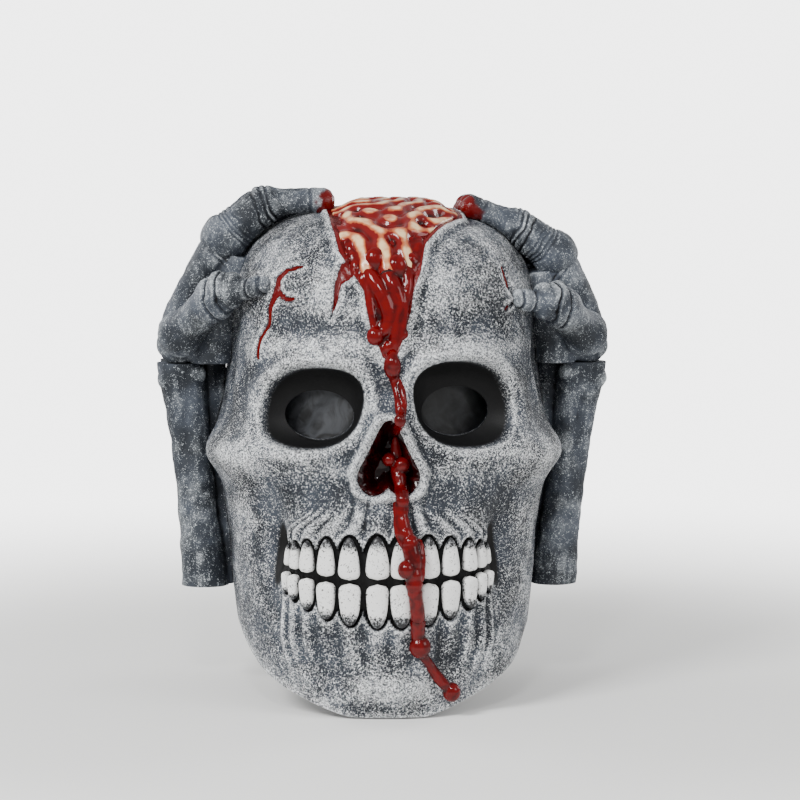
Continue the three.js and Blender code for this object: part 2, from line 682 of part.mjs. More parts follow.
const mask = new THREE.Group();
function add(name, solid, material) {
  const mesh = new THREE.Mesh(geometryOf(solid), material);
  mesh.name = name;
  mask.add(mesh);
}

add("skull_face", makeFace(), LATEX);
add("skull_back", makeBack(), LATEX);
const flap = makeFlap();
add("nape_flap_left", flap, LATEX);
add("nape_flap_right", mirrored(flap), LATEX);
add("brain_insert", makeBrain(), BRAIN);
add("forehead_gore", makeForeheadGore(), GORE);
add("gore_brow_run", makeRun(BROW_RUN), GORE);
add("gore_long_run", makeRun(LONG_RUN), GORE);
add("upper_teeth", onSkin(toothRow(1, 0)), TOOTH);
add("lower_teeth", onSkin(toothRow(-1, 0)), TOOTH);
const eyeMesh = makeEyeMesh();
add("eye_mesh_left", eyeMesh, GAUZE);
add("eye_mesh_right", mirrored(eyeMesh), GAUZE);
add("nasal_lining", makeNasalLining(), GORE);
add("crown_pad", makeCrownPad(), FOAM);
for (const side of ["right", "left"]) {
  const tipX = FINGERTIP_X[side];
  const place = side === "left" ? (solid) => solid : mirrored;
  add(`${side}_forearm`, place(forearm()), HAND_LATEX);
  add(`${side}_hand_back`, place(handBack(tipX)), HAND_LATEX);
  add(`${side}_thumb`, place(mainBody(thumb().subtract(headSolid(GAP)))), HAND_LATEX);
  ["index", "middle", "ring", "little"].forEach((name, index) => {
    add(`${side}_${name}_finger`, place(mainBody(finger(index, tipX).subtract(headSolid(GAP)))), HAND_LATEX);
  });
}

export default mask;
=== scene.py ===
"""Latex skull mask gripped by skeleton hands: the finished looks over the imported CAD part.

The pieces follow the order in which such a mask is put together. Sizes are in mm until a mesh is made.
"""
import math

import bpy
import numpy as np
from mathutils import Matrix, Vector


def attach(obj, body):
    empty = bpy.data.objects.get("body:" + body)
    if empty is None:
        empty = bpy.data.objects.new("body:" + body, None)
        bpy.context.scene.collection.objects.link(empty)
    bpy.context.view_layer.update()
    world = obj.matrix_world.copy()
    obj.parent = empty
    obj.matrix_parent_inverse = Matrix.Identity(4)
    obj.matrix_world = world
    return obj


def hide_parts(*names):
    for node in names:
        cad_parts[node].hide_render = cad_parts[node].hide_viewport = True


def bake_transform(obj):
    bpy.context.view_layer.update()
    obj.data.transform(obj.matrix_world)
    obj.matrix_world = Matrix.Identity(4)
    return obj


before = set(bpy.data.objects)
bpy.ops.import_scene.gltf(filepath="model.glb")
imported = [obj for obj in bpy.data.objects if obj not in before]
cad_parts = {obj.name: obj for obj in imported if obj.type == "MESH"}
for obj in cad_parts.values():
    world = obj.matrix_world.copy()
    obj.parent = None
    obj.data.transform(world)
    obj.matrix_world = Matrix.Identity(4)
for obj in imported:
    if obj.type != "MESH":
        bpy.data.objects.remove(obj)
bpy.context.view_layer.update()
MM = 0.001

# ---- Camera -------------------------------------------------------------------------------------------
# Eye level, 1.5 m off, with a long lens, a touch from the left and from above. It aims a little to the
# right of the mask's middle, so that the mask stands left of the centre.
aim, distance, turn, rise = (0.0108, 0.0, -0.0956), 1.5, math.radians(-2.5), math.radians(5)
camera = bpy.data.objects.new("camera", bpy.data.cameras.new("camera"))
camera.data.lens, camera.data.sensor_width, camera.data.clip_start = 112.5, 36, 0.05
away = (math.sin(turn) * math.cos(rise), -math.cos(turn) * math.cos(rise), math.sin(rise))
camera.location = [a + distance * d for a, d in zip(aim, away)]
camera.rotation_euler = (math.pi / 2 - rise, 0, turn)
bpy.context.collection.objects.link(camera)
bpy.context.scene.camera = camera

# ---- Skull skin, front --------------------------------------------------------------------------------
# The slush-cast latex skin, 3 mm thick: brow, sockets, cheekbones, nose rim, toothed muzzle and chin.
# It is torn open at the crown, and its mould seam runs up both sides behind the arms.
CROWN_Z, EQUATOR_Z, CHIN_Z, HEM_Z = 20.0, -60.0, -268.0, -205.0
HALF_WIDTH, FRONT_DEPTH, BACK_DEPTH, POWER = 91.5, 101.0, 116.0, 2.35
SHAPE = np.array(  # share of the way down from the equator, then width, front and back as shares
    [
        (0, 1, 1, 1), (0.1, 1.03, 1.02, 1.02), (0.3, 1.07, 1.02, 0.98), (0.42, 1.04, 1.03, 0.93),
        (0.55, 1, 1.04, 0.87), (0.7, 0.975, 1.035, 0.8), (0.85, 0.93, 1.02, 0.74), (1, 0.86, 0.96, 0.68),
    ]
)
SEAM = math.radians(101)


def smooth(t, low=0.0, high=1.0):
    """3u^2 - 2u^3, where u is how far t is from low to high, held between 0 and 1."""
    u = np.clip((t - low) / (high - low), 0, 1)
    return u * u * (3 - 2 * u)


def bell(x, z, cx, cz, sx, sz):
    """exp of minus the squared distances from (cx, cz), each over its spread."""
    return np.exp(-(((x - cx) / sx) ** 2) - ((z - cz) / sz) ** 2)


def bells(rows, x, z):
    """The sum of bells, each row giving a height, a middle and two spreads."""
    return sum(height * bell(x, z, *place) for height, *place in rows)


def ridge(t, middle, width):
    """exp of minus the square of t's distance from middle over width: 1 at middle, fading on both sides."""
    return np.exp(-(((t - middle) / width) ** 2))


def half_axes(z):
    """Half width, front and back depth at height z: cubic Hermite curves through SHAPE's rows."""
    t, rows = SHAPE[:, 0], SHAPE[:, 1:]
    slopes = np.zeros_like(rows)
    slopes[1:-1] = (rows[2:] - rows[:-2]) / (t[2:] - t[:-2])[:, None]
    slopes[-1] = (rows[-1] - rows[-2]) / (t[-1] - t[-2])
    down = np.clip((EQUATOR_Z - z) / (EQUATOR_Z - CHIN_Z), 0, 1)
    i = np.clip(np.searchsorted(t, down, side="right") - 1, 0, len(t) - 2)
    span = t[i + 1] - t[i]
    u = ((down - t[i]) / span)[..., None]
    span = span[..., None]
    shares = (
        (2 * u**3 - 3 * u**2 + 1) * rows[i]
        + (u**3 - 2 * u**2 + u) * span * slopes[i]
        + (3 * u**2 - 2 * u**3) * rows[i + 1]
        + (u**3 - u**2) * span * slopes[i + 1]
    )
    return np.moveaxis(shares * (HALF_WIDTH, FRONT_DEPTH, BACK_DEPTH), -1, 0)


def reach(theta, z):
    """Distance of the plain skin from the upright axis: a superellipse of half_axes(z), times the dome's
    (1 - h^3)^(1/3) above the equator, h being the share of the way up to the crown."""
    width, front, back = half_axes(z)
    h = np.clip((z - EQUATOR_Z) / (CROWN_Z - EQUATOR_Z), 0, 1)
    s, c = np.sin(theta), np.cos(theta)
    depth = np.where(c >= 0, front, back)
    flat = ((np.abs(c) / depth) ** POWER + (np.abs(s) / width) ** POWER) ** (-1 / POWER)
    return flat * np.cbrt(1 - h**3)


def skin(theta, z, out=0.0):
    """The point of the plain skin at a turn and height, moved out by so many mm along the line from the
    middle of the head: level below the equator, and spreading from the equator's centre above it."""
    theta, z = np.broadcast_arrays(np.asarray(theta, float), np.asarray(z, float))
    r = reach(theta, z)
    point = np.stack([r * np.sin(theta), -r * np.cos(theta), z], -1)
    way = point - np.stack([0 * z, 0 * z, np.minimum(z, EQUATOR_Z)], -1)
    way = way / np.maximum(np.linalg.norm(way, axis=-1, keepdims=True), 1e-9)
    return point + way * np.asarray(out, float)[..., None]


def turn_at(x, z):
    """The turn where the plain skin at height z is x from the middle, by halving between -89 and 89."""
    x, z = np.broadcast_arrays(np.asarray(x, float), np.asarray(z, float))
    low, high = np.full(x.shape, -1.553), np.full(x.shape, 1.553)
    for _ in range(26):
        mid = (low + high) / 2
        over = reach(mid, z) * np.sin(mid) > x
        low, high = np.where(over, low, mid), np.where(over, mid, high)
    return (low + high) / 2


def height_at(theta, v):
    """Height for v from 0 at the hem to 1 at the crown. The hem rises from the chin to the sides; from
    v = 0.64 up, rows are at even angles seen from the equator's centre."""
    hem = CHIN_Z + (HEM_Z - CHIN_Z) * np.clip((np.abs(theta) - 0.209) / 1.361, 0, 1) ** 1.25
    low = hem + (EQUATOR_Z - hem) * v / 0.64
    angle = np.clip((v - 0.64) / 0.36, 0, 1) * (math.pi / 2 - 1e-6)
    q = reach(theta, np.full_like(theta, EQUATOR_Z)) * np.tan(angle) / (CROWN_Z - EQUATOR_Z)
    high = EQUATOR_Z + (CROWN_Z - EQUATOR_Z) * np.cbrt(q**3 / (1 + q**3))
    return np.where(v < 0.64, low, high)


def noise(points, pitch, seed, octaves=2):
    """Smooth noise about 0, mostly within -1 to 1: random values on a lattice of that pitch, blended by
    3u^2 - 2u^3, plus octaves of half the pitch and half the size."""
    lattice = np.random.default_rng(seed).uniform(-1, 1, (32, 32, 32))
    total = 0
    for k in range(octaves):
        q = points / (pitch / 2**k) + 17.3 * k
        cell = np.floor(q).astype(int)
        u = q - cell
        u = u * u * (3 - 2 * u)
        value = 0
        for corner in np.ndindex(2, 2, 2):
            weight = np.prod(np.where(np.array(corner) == 1, u, 1 - u), axis=-1)
            i, j, m = np.moveaxis((cell + corner) % 32, -1, 0)
            value = value + weight * lattice[i, j, m]
        total = total + value / 2**k
    return total


def to_outline(x, z, outline, closed=True):
    """Distance to a run of straight edges, less than 0 inside a closed one."""
    ends = np.asarray(outline, float)
    starts, stops = (ends, np.roll(ends, -1, 0)) if closed else (ends[:-1], ends[1:])
    nearest, inside = np.full(np.shape(x), 1e9), np.zeros(np.shape(x), bool)
    for (ax, az), (bx, bz) in zip(starts, stops):
        dx, dz = bx - ax, bz - az
        t = np.clip(((x - ax) * dx + (z - az) * dz) / (dx * dx + dz * dz), 0, 1)
        nearest = np.minimum(nearest, np.hypot(x - ax - t * dx, z - az - t * dz))
        if closed and dz:
            inside ^= ((az > z) != (bz > z)) & (x < ax + (z - az) * dx / dz)
    return np.where(inside, -nearest, nearest)


def socket_share(x, z):
    """How far a point is from the middle of its eye socket, 1 being the rim: a superellipse that leans
    outwards at the bottom. The wearer's left socket sits a little higher."""
    left = x > 0
    w = (z + np.where(left, 90.0, 92.0)) / np.where(left, 25.2, 23.6)
    u = (np.abs(x) - 41.3) / 28.4 + 0.17 * w - 0.05
    return (np.abs(u) ** 2.35 + np.abs(w) ** 2.35) ** (1 / 2.35)


NOSE = [(3.2, -99), (11, -115), (17.5, -128), (16, -136), (10, -141), (3.5, -139.5), (0, -137)]
NOSE = NOSE + [(-x, z) for x, z in NOSE[-2::-1]]
TOOTH_X = np.array([6.6, 21.9, 34.8, 45.9, 53.4, 58.5])
TOOTH_HALF = np.array([7.1, 6.6, 5.6, 4.5, 3.3, 2.2])
BITE_Z = -188.0


def tooth_share(x):
    """Across the nearest tooth: 0 in its middle, 1 at its edge, about 1.2 halfway to the next."""
    ax = np.abs(x)[..., None]
    return np.min(np.abs(ax - TOOTH_X) / TOOTH_HALF, axis=-1)


def bite_line(x):
    """Height of the line where the teeth meet; it rises towards the corners of the mouth."""
    return BITE_Z - 1 + 5.5 * np.minimum(np.abs(x) / 60, 1.1) ** 2.5


def gum_line(x, way):
    """Height of the pointed arches over the teeth, way 1 for the upper row and -1 for the lower. Outer
    teeth are shorter, and the bone hangs in points between two teeth."""
    share = np.minimum(tooth_share(x), 1.35) / 1.2
    length = 27.5 - 13 * np.minimum(np.abs(x) / 60, 1) ** 2.6
    return bite_line(x) + way * length * (1 - 0.45 * share**2.2)


# the tear's edge, as [across, down] from its foot, seen along an axis that leans forward from upright
TEAR = [(-2.5, 1), (-7.5, -7), (-11, -14), (-12.5, -22), (-19, -31), (-26, -44), (-30, -70), (-32, -100),
        (-26, -130), (4, -152), (30, -142), (42, -115), (44, -90), (34, -74), (20, -48), (17, -31),
        (13, -22), (11.5, -14), (8.5, -7), (3.5, 1)]
TEAR_LEAN, TEAR_FOOT = math.radians(35), 117.1
# the rip beside the tear, as [x, z] round its edge
RIP = [(-21, -9), (-27, -12), (-30, -22), (-32, -41), (-28, -32), (-26, -22), (-19, -19)]
# cracks that run from the thumb tips and the tear, as [x, z] from the wound outwards
CRACKS = [
    [(-62, -27), (-66, -36), (-67, -46), (-71, -54), (-72, -65)],
    [(-62, -27), (-61, -20), (-56, -15), (-48, -13)],
    [(-62, -27), (-57, -31), (-53, -31)],
    [(66, -14), (69, -24), (74, -31)],
    [(68, -37), (73, -34), (80, -37)],
]


# broad forms of the face, the same on both sides: height, middle in x and z, spreads in x and z
FACE_FORMS = [
    (5.5, 41, -61, 36, 9),  # brow ridges
    (12, 84.2, -121, 25, 14),  # cheekbones
    (-8, 68, -168, 13, 24),  # hollow cheeks
    (5, 0, -188, 46, 34),  # muzzle
    (6, 0, -97, 9, 15),  # bridge of the nose
    (5, 0, -252, 26, 11),  # chin
    (-3, 0, -79, 12, 7),  # dip between the brows
    (3, 45, -122, 18, 8),  # lower rims of the sockets
    (-3.5, 32, -140, 11, 15),  # hollows beside the nose
    (3.5, 62, -236, 14, 20),  # corners of the jaw
    (-2.5, 30, -238, 12, 16),  # dents beside the chin
    (2, 40, -22, 24, 16),  # bosses of the forehead
    (-2, 0, -45, 40, 8),  # dip above the brows
]
# where the dry brush caught the face, in the same way, with a share of wear for the height
WORN_PATCHES = [
    (0.38, 32, -58, 40, 10), (0.2, 26, -28, 30, 24), (0.3, 76, -119, 20, 13), (0.3, 0, -246, 44, 16),
    (0.3, 45, -158, 30, 7), (0.2, 34, -127, 20, 7), (-0.2, 50, -140, 24, 9),
]


def tear_down(y, z):
    """How far down a point is from the foot of the tear, at a right angle to the tear's leaning axis:
    minus y by the lean's cosine, minus z by its sine, less the foot."""
    return -math.cos(TEAR_LEAN) * y - math.sin(TEAR_LEAN) * z - TEAR_FOOT


def sculpt(theta, z):
    """Height of the sculpted face over the plain skin, in mm, and its painted fields: wear, black and blood.
    The bones are broad bells, the sockets are bowls of 21 (1 - share^2.6)^0.6, ridges and grooves follow the
    roots of the teeth as a cosine of tooth_share, and a lip follows the tear, the rip and the cracks."""
    point = skin(theta, z)
    x, y = point[..., 0], point[..., 1]
    ax, front, around = np.abs(x), smooth(-y, -25, 35), np.degrees(np.abs(theta))
    up = front * bells(FACE_FORMS, ax, z) + 0.55 * noise(point, 21, 3) + 0.16 * noise(point, 5, 4)
    folds = np.sin(theta * 92 / 6.2 * 2 + 1.5 * np.sin(z / 15) + 0.8 * noise(point, 14, 6))
    temple = bell(around, z, 64, -84, 13, 34)
    up += 0.8 * temple * folds - 2.5 * bell(around, z, 70, -70, 14, 26)
    streaks = noise(point * (1, 1, 0.16), 4.2, 9)
    up += 0.5 * streaks * front * (bell(ax, z, 40, -146, 26, 22) + bell(ax, z, 0, -232, 48, 22))

    # sockets, and the nose with its rim, bridge, spine and the furrows under it
    share = socket_share(x, z)
    socket_rim = ridge((share - 1) * 25, 4, 3.6) * (share > 0.7)
    up += front * (3.4 * (0.5 + 0.6 * smooth(z, -110, -75)) * socket_rim)
    bowl = 21 * np.clip(1 - share**2.6, 0, 1) ** 0.6
    from_nose, under = to_outline(x, z, NOSE), z + 141
    nose_rim = ridge(from_nose, 3.0, 2.5) * smooth(z, -147, -138)
    bridge = ridge(ax - 0.12 * (z + 99), 6, 2.6) * smooth(z, -106, -98) * (1 - smooth(z, -84, -72))
    up += front * (5.6 * nose_rim + 1.8 * bridge - 3 * smooth(-from_nose, 0, 5))
    spine = bell(x, z, -2.5, -144, 3.4, 6)
    furrows = ridge(ax + 0.35 * under - 3 * np.sin(under / 9), 20, 1.7) + ridge(ax + 0.18 * under, 11, 1.5)
    up += front * (2 * spine - 1.7 * furrows * smooth(z, -166, -158) * (1 - smooth(z, -146, -138)))

    # roots of the teeth, and the sunk band that holds the two rows
    upper = z > BITE_Z
    drawn = x * np.where(upper, 1 + 0.5 * smooth(z, -164, -142), 1 + 0.12 * smooth(-z, 220, 250))
    root = 0.5 + 0.5 * np.cos(math.pi * np.minimum(tooth_share(drawn), 1.2) / 1.2)
    near = np.where(upper, 1 - smooth(z, -160, -144), 1 - smooth(-z, 220, 250)) * smooth(-ax, -66, -56)
    up += front * near * (2.6 * root - 1.1)
    hole = smooth(gum_line(x, 1) - z, -0.8, 1.0) * smooth(z - gum_line(x, -1), -0.8, 1.0)
    hole = hole * smooth(-ax, -64, -61.5) * (front > 0.5)
    corner = bell(ax, z, 65.5, -178, 4.6, 21) * front
    up += -4.6 * hole - 6.5 * corner * (1 - hole)

    # lips along the tear, the rip and the cracks; the tear's distance is kept off the lower face
    from_tear = to_outline(x, tear_down(y, z), TEAR) + 60 * (1 - smooth(z, -84, -70))
    up += (1.5 + 0.7 * noise(point, 7, 12)) * ridge(from_tear, 2.2, 2.2) - 0.8 * ridge(from_tear, 7, 3)
    cracks = np.min([to_outline(x, z, c, closed=False) for c in CRACKS], axis=0) + 8 * (1 - front)
    cracks -= 1.3 * np.exp(-np.hypot(x + 62, z + 27) / 9)
    up += -1.6 * ridge(cracks, 0, 0.9) + 0.6 * ridge(cracks, 2.2, 1.3)
    from_rip = to_outline(x, z, RIP) + 60 * (1 - front)
    up += 0.9 * ridge(from_rip, 1.8, 1.5) - 2.2 * smooth(-from_rip, -0.4, 1.2)
    up -= front * bowl

    # paint: wear on the high places, black in the recesses, blood in the wounds and the nose. The black is
    # painted shade, and in the sockets also the black paint the mask has there; nose, mouth recess and
    # corners are shade alone
    worn = 0.2 + 0.2 * noise(point, 9, 21)
    worn += front * (bells(WORN_PATCHES, ax, z) + 0.36 * ridge(from_nose, 3.2, 3.0))
    worn -= 0.45 * temple + 0.3 * bell(ax, z, 66, -165, 10, 26) + 0.55 * smooth(around, 66, 84)
    worn += 0.16 * ridge(from_tear, 2.6, 3)
    painted_shade_and_black_paint = np.maximum(smooth(-share, -1.03, -0.9), smooth(-from_nose, -0.6, 1.2)) * front
    painted_shade_and_black_paint = np.maximum(painted_shade_and_black_paint, np.maximum(0.96 * hole, smooth(corner, 0.25, 0.8)))
    blood = np.maximum.reduce([
        0.8 * ridge(np.maximum(cracks - 0.25, 0), 0, 0.75) * (1 - 0.6 * (x > 70)),
        0.75 * smooth(-from_rip, -0.3, 0.6),
        smooth(-from_tear, -2.2, 0.2),
        front * smooth(-from_nose, -0.4, 0.8),
    ])
    return up, {"worn": np.clip(worn, 0, 0.9), "painted_shade_and_black_paint": np.clip(painted_shade_and_black_paint, 0, 1), "blood": np.clip(blood, 0, 1)}


def make_object(name, points, faces):
    """A mesh object from points in mm and rows of corner numbers."""
    mesh = bpy.data.meshes.new(name)
    mesh.from_pydata((np.asarray(points, float) * MM).reshape(-1, 3).tolist(), [], [list(f) for f in faces])
    mesh.validate()
    obj = bpy.data.objects.new(name, mesh)
    bpy.context.collection.objects.link(obj)
    return obj


def grid_faces(rows, columns, first=0, wrap=False):
    """Corner numbers of a grid's quads, row by row, wound so that columns run right and rows run up."""
    j = np.arange(columns if wrap else columns - 1)
    i = np.arange(rows - 1)[:, None]
    a, b = i * columns + j, i * columns + (j + 1) % columns
    return (np.stack([a, b, b + columns, a + columns], -1) + first).reshape(-1, 4)


def wedge(name, turns, shares, height, foot):
    """The solid from the upright axis out to the skin moved by height(theta, z): a grid of turns by
    shares of the way up, closed at the crown, down both end columns and under the hem to the foot."""
    theta, v = np.meshgrid(turns, shares)
    z = height_at(theta, v)
    grid = skin(theta, z, height(theta, z))
    rows, columns = theta.shape
    top, low = rows * columns, rows * columns + 1
    faces = [list(f) for f in grid_faces(rows, columns)]
    last = (rows - 1) * columns
    faces += [[last + j, last + j + 1, top] for j in range(columns - 1)]
    faces += [[j + 1, j, low] for j in range(columns - 1)]
    for j, way in ((0, 1), (columns - 1, -1)):
        column = [i * columns + j for i in range(rows)] + [top]
        faces += [[a, b, low][::way] for a, b in zip(column, column[1:])]
    crown = skin(0.0, CROWN_Z, height(np.zeros(1), np.full(1, CROWN_Z))[0])
    points = np.concatenate([grid.reshape(-1, 3), crown.reshape(1, 3), [(0, 0, foot)]])
    return make_object(name, points, faces)


def spaced(marks):
    """Numbers from the first mark to the last, given as (value, step), each stretch in even steps."""
    parts = [np.linspace(a, b, max(2, round((b - a) / step)), endpoint=False)
             for (a, step), (b, _) in zip(marks, marks[1:])]
    return np.concatenate(parts + [[marks[-1][0]]])


def baked(obj):
    """Replaces an object's mesh by what its modifiers make of it, without material slots."""
    mesh = bpy.data.meshes.new_from_object(obj.evaluated_get(bpy.context.evaluated_depsgraph_get()))
    old, obj.data = obj.data, mesh
    obj.modifiers.clear()
    obj.data.materials.clear()
    bpy.data.meshes.remove(old)
    return obj


def cut(obj, *tools, how="DIFFERENCE"):
    """Cuts closed tools out of a closed object, or keeps what they share, and throws the tools away."""
    for tool in tools:
        step = obj.modifiers.new("cut", "BOOLEAN")
        step.operation, step.solver, step.object = how, "MANIFOLD", tool
        baked(obj)
        mesh = tool.data
        bpy.data.objects.remove(tool)
        bpy.data.meshes.remove(mesh)
    return obj


def prism(name, outline, place, low, high):
    """An outline swept from low to high: place(a, b, along) gives the corners' points at each end."""
    a, b = np.asarray(outline, float).T
    n, i = len(a), np.arange(len(a))
    points = np.concatenate([np.stack(np.broadcast_arrays(*place(a, b, along)), -1) for along in (low, high)])
    walls = np.stack([i, (i + 1) % n, n + (i + 1) % n, n + i], -1)
    return make_object(name, points, [i[::-1], i + n, *walls])


def forwards(a, b, along):
    """A corner of an outline that is swept level through the face: x is a, z is b."""
    return a, -along, b


def between(a, b, c, d, steps):
    """Catmull-Rom cubics from each row of b to that of c, with a and d before and after them."""
    t = (np.arange(steps) / steps)[:, None, None]
    curve = 0.5 * (2 * b + (c - a) * t + (2 * a - 5 * b + 4 * c - d) * t**2 + (3 * b - a - 3 * c + d) * t**3)
    return np.swapaxes(curve, 0, 1).reshape(-1, b.shape[1])


def rounded(outline, steps, jitter=0.0, seed=0):
    """A closed smooth curve through an outline's corners, with a seeded wobble."""
    p = np.asarray(outline, float)
    curve = between(np.roll(p, 1, 0), p, np.roll(p, -1, 0), np.roll(p, -2, 0), steps)
    return curve + (np.random.default_rng(seed).normal(0, jitter, curve.shape) if jitter else 0)


def oval(x, z, half_x, half_z, angles):
    """Points of an ellipse about (x, z): the half widths by the angles' cosine and sine."""
    return np.stack([x + half_x * np.cos(angles), z + half_z * np.sin(angles)], -1)


def tear_point(a, b, along):
    """A corner of the tear's outline, so far along the axis that leans forward by TEAR_LEAN."""
    s, c = math.sin(TEAR_LEAN), math.cos(TEAR_LEAN)
    down = b + TEAR_FOOT
    return a, -c * down - s * along, -s * down + c * along


def tear_cutter():
    """The tear's outline with a ragged edge, swept through the crown."""
    return prism("tear", rounded(TEAR, 5, 0.45, 1), tear_point, -8, 160)


def outer_height(theta, z):
    """The sculpted height alone."""
    return sculpt(theta, z)[0]


WALL = 2.6


def inner_height(theta, z):
    """The lowest sculpted height within about 3 mm, less the wall, so that the wall keeps its thickness."""
    up = outer_height(theta, z)
    for _ in range(2 if up.ndim > 1 else 0):
        up = np.minimum.reduce([up] + [np.roll(up, shift, axis) for axis in (0, 1) for shift in (1, -1)])
    return up - WALL


# the grids are finest over the face; turns in radians, shares of the way up from the hem to the crown
turns = spaced([(-SEAM, 0.021), (-0.86, 0.0096), (0.86, 0.021), (SEAM, 0)])
shares = spaced([(0, 0.0062), (0.12, 0.0028), (0.56, 0.0046), (0.64, 0.0036), (0.9, 0.007), (0.985, 0)])
room_turns, room_shares = spaced([(-2.0, 0.028), (2.0, 0)]), spaced([(-0.09, 0.0115), (0.985, 0)])
skull_face = wedge("skull_face_skin", turns, shares, outer_height, -226)
room = wedge("room", room_turns, room_shares, inner_height, -300)
EYE_X, EYE_HALF_X, EYE_HALF_Z = 38.5, 19.5, 14.0
EYE_SIDES = ((1, "left", -95), (-1, "right", -97))  # side, the wearer's name for it, height of its middle
circle = np.linspace(0, 2 * math.pi, 48)[:-1]
eyes = [prism("eye", oval(side * EYE_X, middle_z, EYE_HALF_X, EYE_HALF_Z, circle), forwards, 40, 150)
        for side, _, middle_z in EYE_SIDES]
nose = prism("nose", rounded(NOSE[::-1], 5), forwards, 60, 150)
cut(skull_face, room, tear_cutter(), *eyes, nose)


def add_attribute(obj, name, values):
    """Stores one number for each vertex."""
    data = obj.data.attributes.new(name, "FLOAT", "POINT")
    data.data.foreach_set("value", np.asarray(values, np.float32))


def points_of(obj):
    """The vertices of an object in mm."""
    flat = np.empty(len(obj.data.vertices) * 3, np.float32)
    obj.data.vertices.foreach_get("co", flat)
    return flat.reshape(-1, 3).astype(float) / MM


def move_points(obj, points):
    """Puts the vertices of an object at points in mm."""
    obj.data.vertices.foreach_set("co", (points * MM).astype(np.float32).ravel())
    obj.data.update()


def normals_of(obj):
    """The unit normals at the vertices of an object."""
    flat = np.empty(len(obj.data.vertices) * 3, np.float32)
    obj.data.vertex_normals.foreach_get("vector", flat)
    return flat.reshape(-1, 3).astype(float)


def evened(obj, points, rounds):
    """Points moved so many times to the middle of the vertices that share an edge with them."""
    n = len(points)
    ends = np.empty(len(obj.data.edges) * 2, np.int32)
    obj.data.edges.foreach_get("vertices", ends)
    a, b = np.concatenate([ends[::2], ends[1::2]]), np.concatenate([ends[1::2], ends[::2]])
    count = np.maximum(np.bincount(a, minlength=n), 1)
    for _ in range(rounds):
        points = np.stack([np.bincount(a, points[b, k], n) / count for k in range(3)], -1)
    return points


def raised(obj, rounds, scale):
    """How far each vertex stands out from its evened surroundings along its normal, over a scale in mm:
    above 0 on ridges."""
    points = points_of(obj)
    return np.sum((points - evened(obj, points, rounds)) * normals_of(obj), -1) / scale


def shade(obj, angle=50):
    """Smooth shading with sharp edges where two faces meet at more than an angle."""
    obj.data.shade_smooth()
    obj.data.set_sharp_from_angle(angle=math.radians(angle))


def turn_and_height(points):
    """The turn and plain height behind points that were moved out from the skin: above the equator, where
    the ray from the equator's centre meets the dome."""
    x, y, z = np.moveaxis(points, -1, 0)
    theta = np.arctan2(x, -y)
    q = (z - EQUATOR_Z) / np.maximum(np.hypot(x, y), 1e-6) * reach(theta, np.full_like(z, EQUATOR_Z))
    q = np.maximum(q, 0) / (CROWN_Z - EQUATOR_Z)
    return theta, np.where(z > EQUATOR_Z, EQUATOR_Z + (CROWN_Z - EQUATOR_Z) * np.cbrt(q**3 / (1 + q**3)), z)


def paint_skin(obj):
    """Fields of the painted skin: the sculpt's own, with more wear where the mesh stands out over 3 and over
    22 rounds of evening, and more black where it lies deep, which is painted shade. Cut faces and the inside
    stay unpainted."""
    points = points_of(obj)
    theta, z = turn_and_height(points)
    up, fields = sculpt(theta, z)
    plain = skin(theta, z, up)
    outside = np.linalg.norm(points - plain, axis=-1) < 1.4
    fine, wide = raised(obj, 3, 0.35), raised(obj, 22, 1.6)
    worn = fields["worn"] + 0.2 * np.clip(fine, -1, 1.2) + 0.28 * np.clip(wide, -1, 1)
    add_attribute(obj, "worn", np.clip(worn, 0, 0.7) * outside)
    # black where the skin lies deep, over 22 rounds of evening, is painted shade
    add_attribute(obj, "painted_shade_and_black_paint", np.clip(fields["painted_shade_and_black_paint"] + 0.55 * np.clip(-wide - 0.1, 0, 1), 0, 1) * outside)
    add_attribute(obj, "blood", fields["blood"] * outside)
    shade(obj)


def add_node(tree, kind, inputs, output=0, **settings):
    """Adds a node and gives back one of its outputs. Its inputs are values or other nodes' outputs, by name
    or number, or in order from the first."""
    n = tree.nodes.new("ShaderNode" + kind)
    for key, value in settings.items():
        setattr(n, key, value)
    for key, value in inputs.items() if isinstance(inputs, dict) else enumerate(inputs):
        if isinstance(value, bpy.types.NodeSocket):
            tree.links.new(value, n.inputs[key])
        else:
            n.inputs[key].default_value = value
    return n.outputs[output]


def linear(colour):
    """A linear colour from an sRGB hex one: over 12.92 when dark, else ((c + 0.055) / 1.055)^2.4."""
    parts = [int(colour[i : i + 2], 16) / 255 for i in (1, 3, 5)]
    return [c / 12.92 if c <= 0.04045 else ((c + 0.055) / 1.055) ** 2.4 for c in parts] + [1.0]


STEP, COLOURS = {"interpolation_type": "SMOOTHSTEP"}, {"data_type": "RGBA"}


def new_material(name):
    """A material with an empty Principled surface, and its tree."""
    material = bpy.data.materials.new(name)
    material.use_nodes = True
    tree = material.node_tree
    return material, tree, tree.nodes["Principled BSDF"]


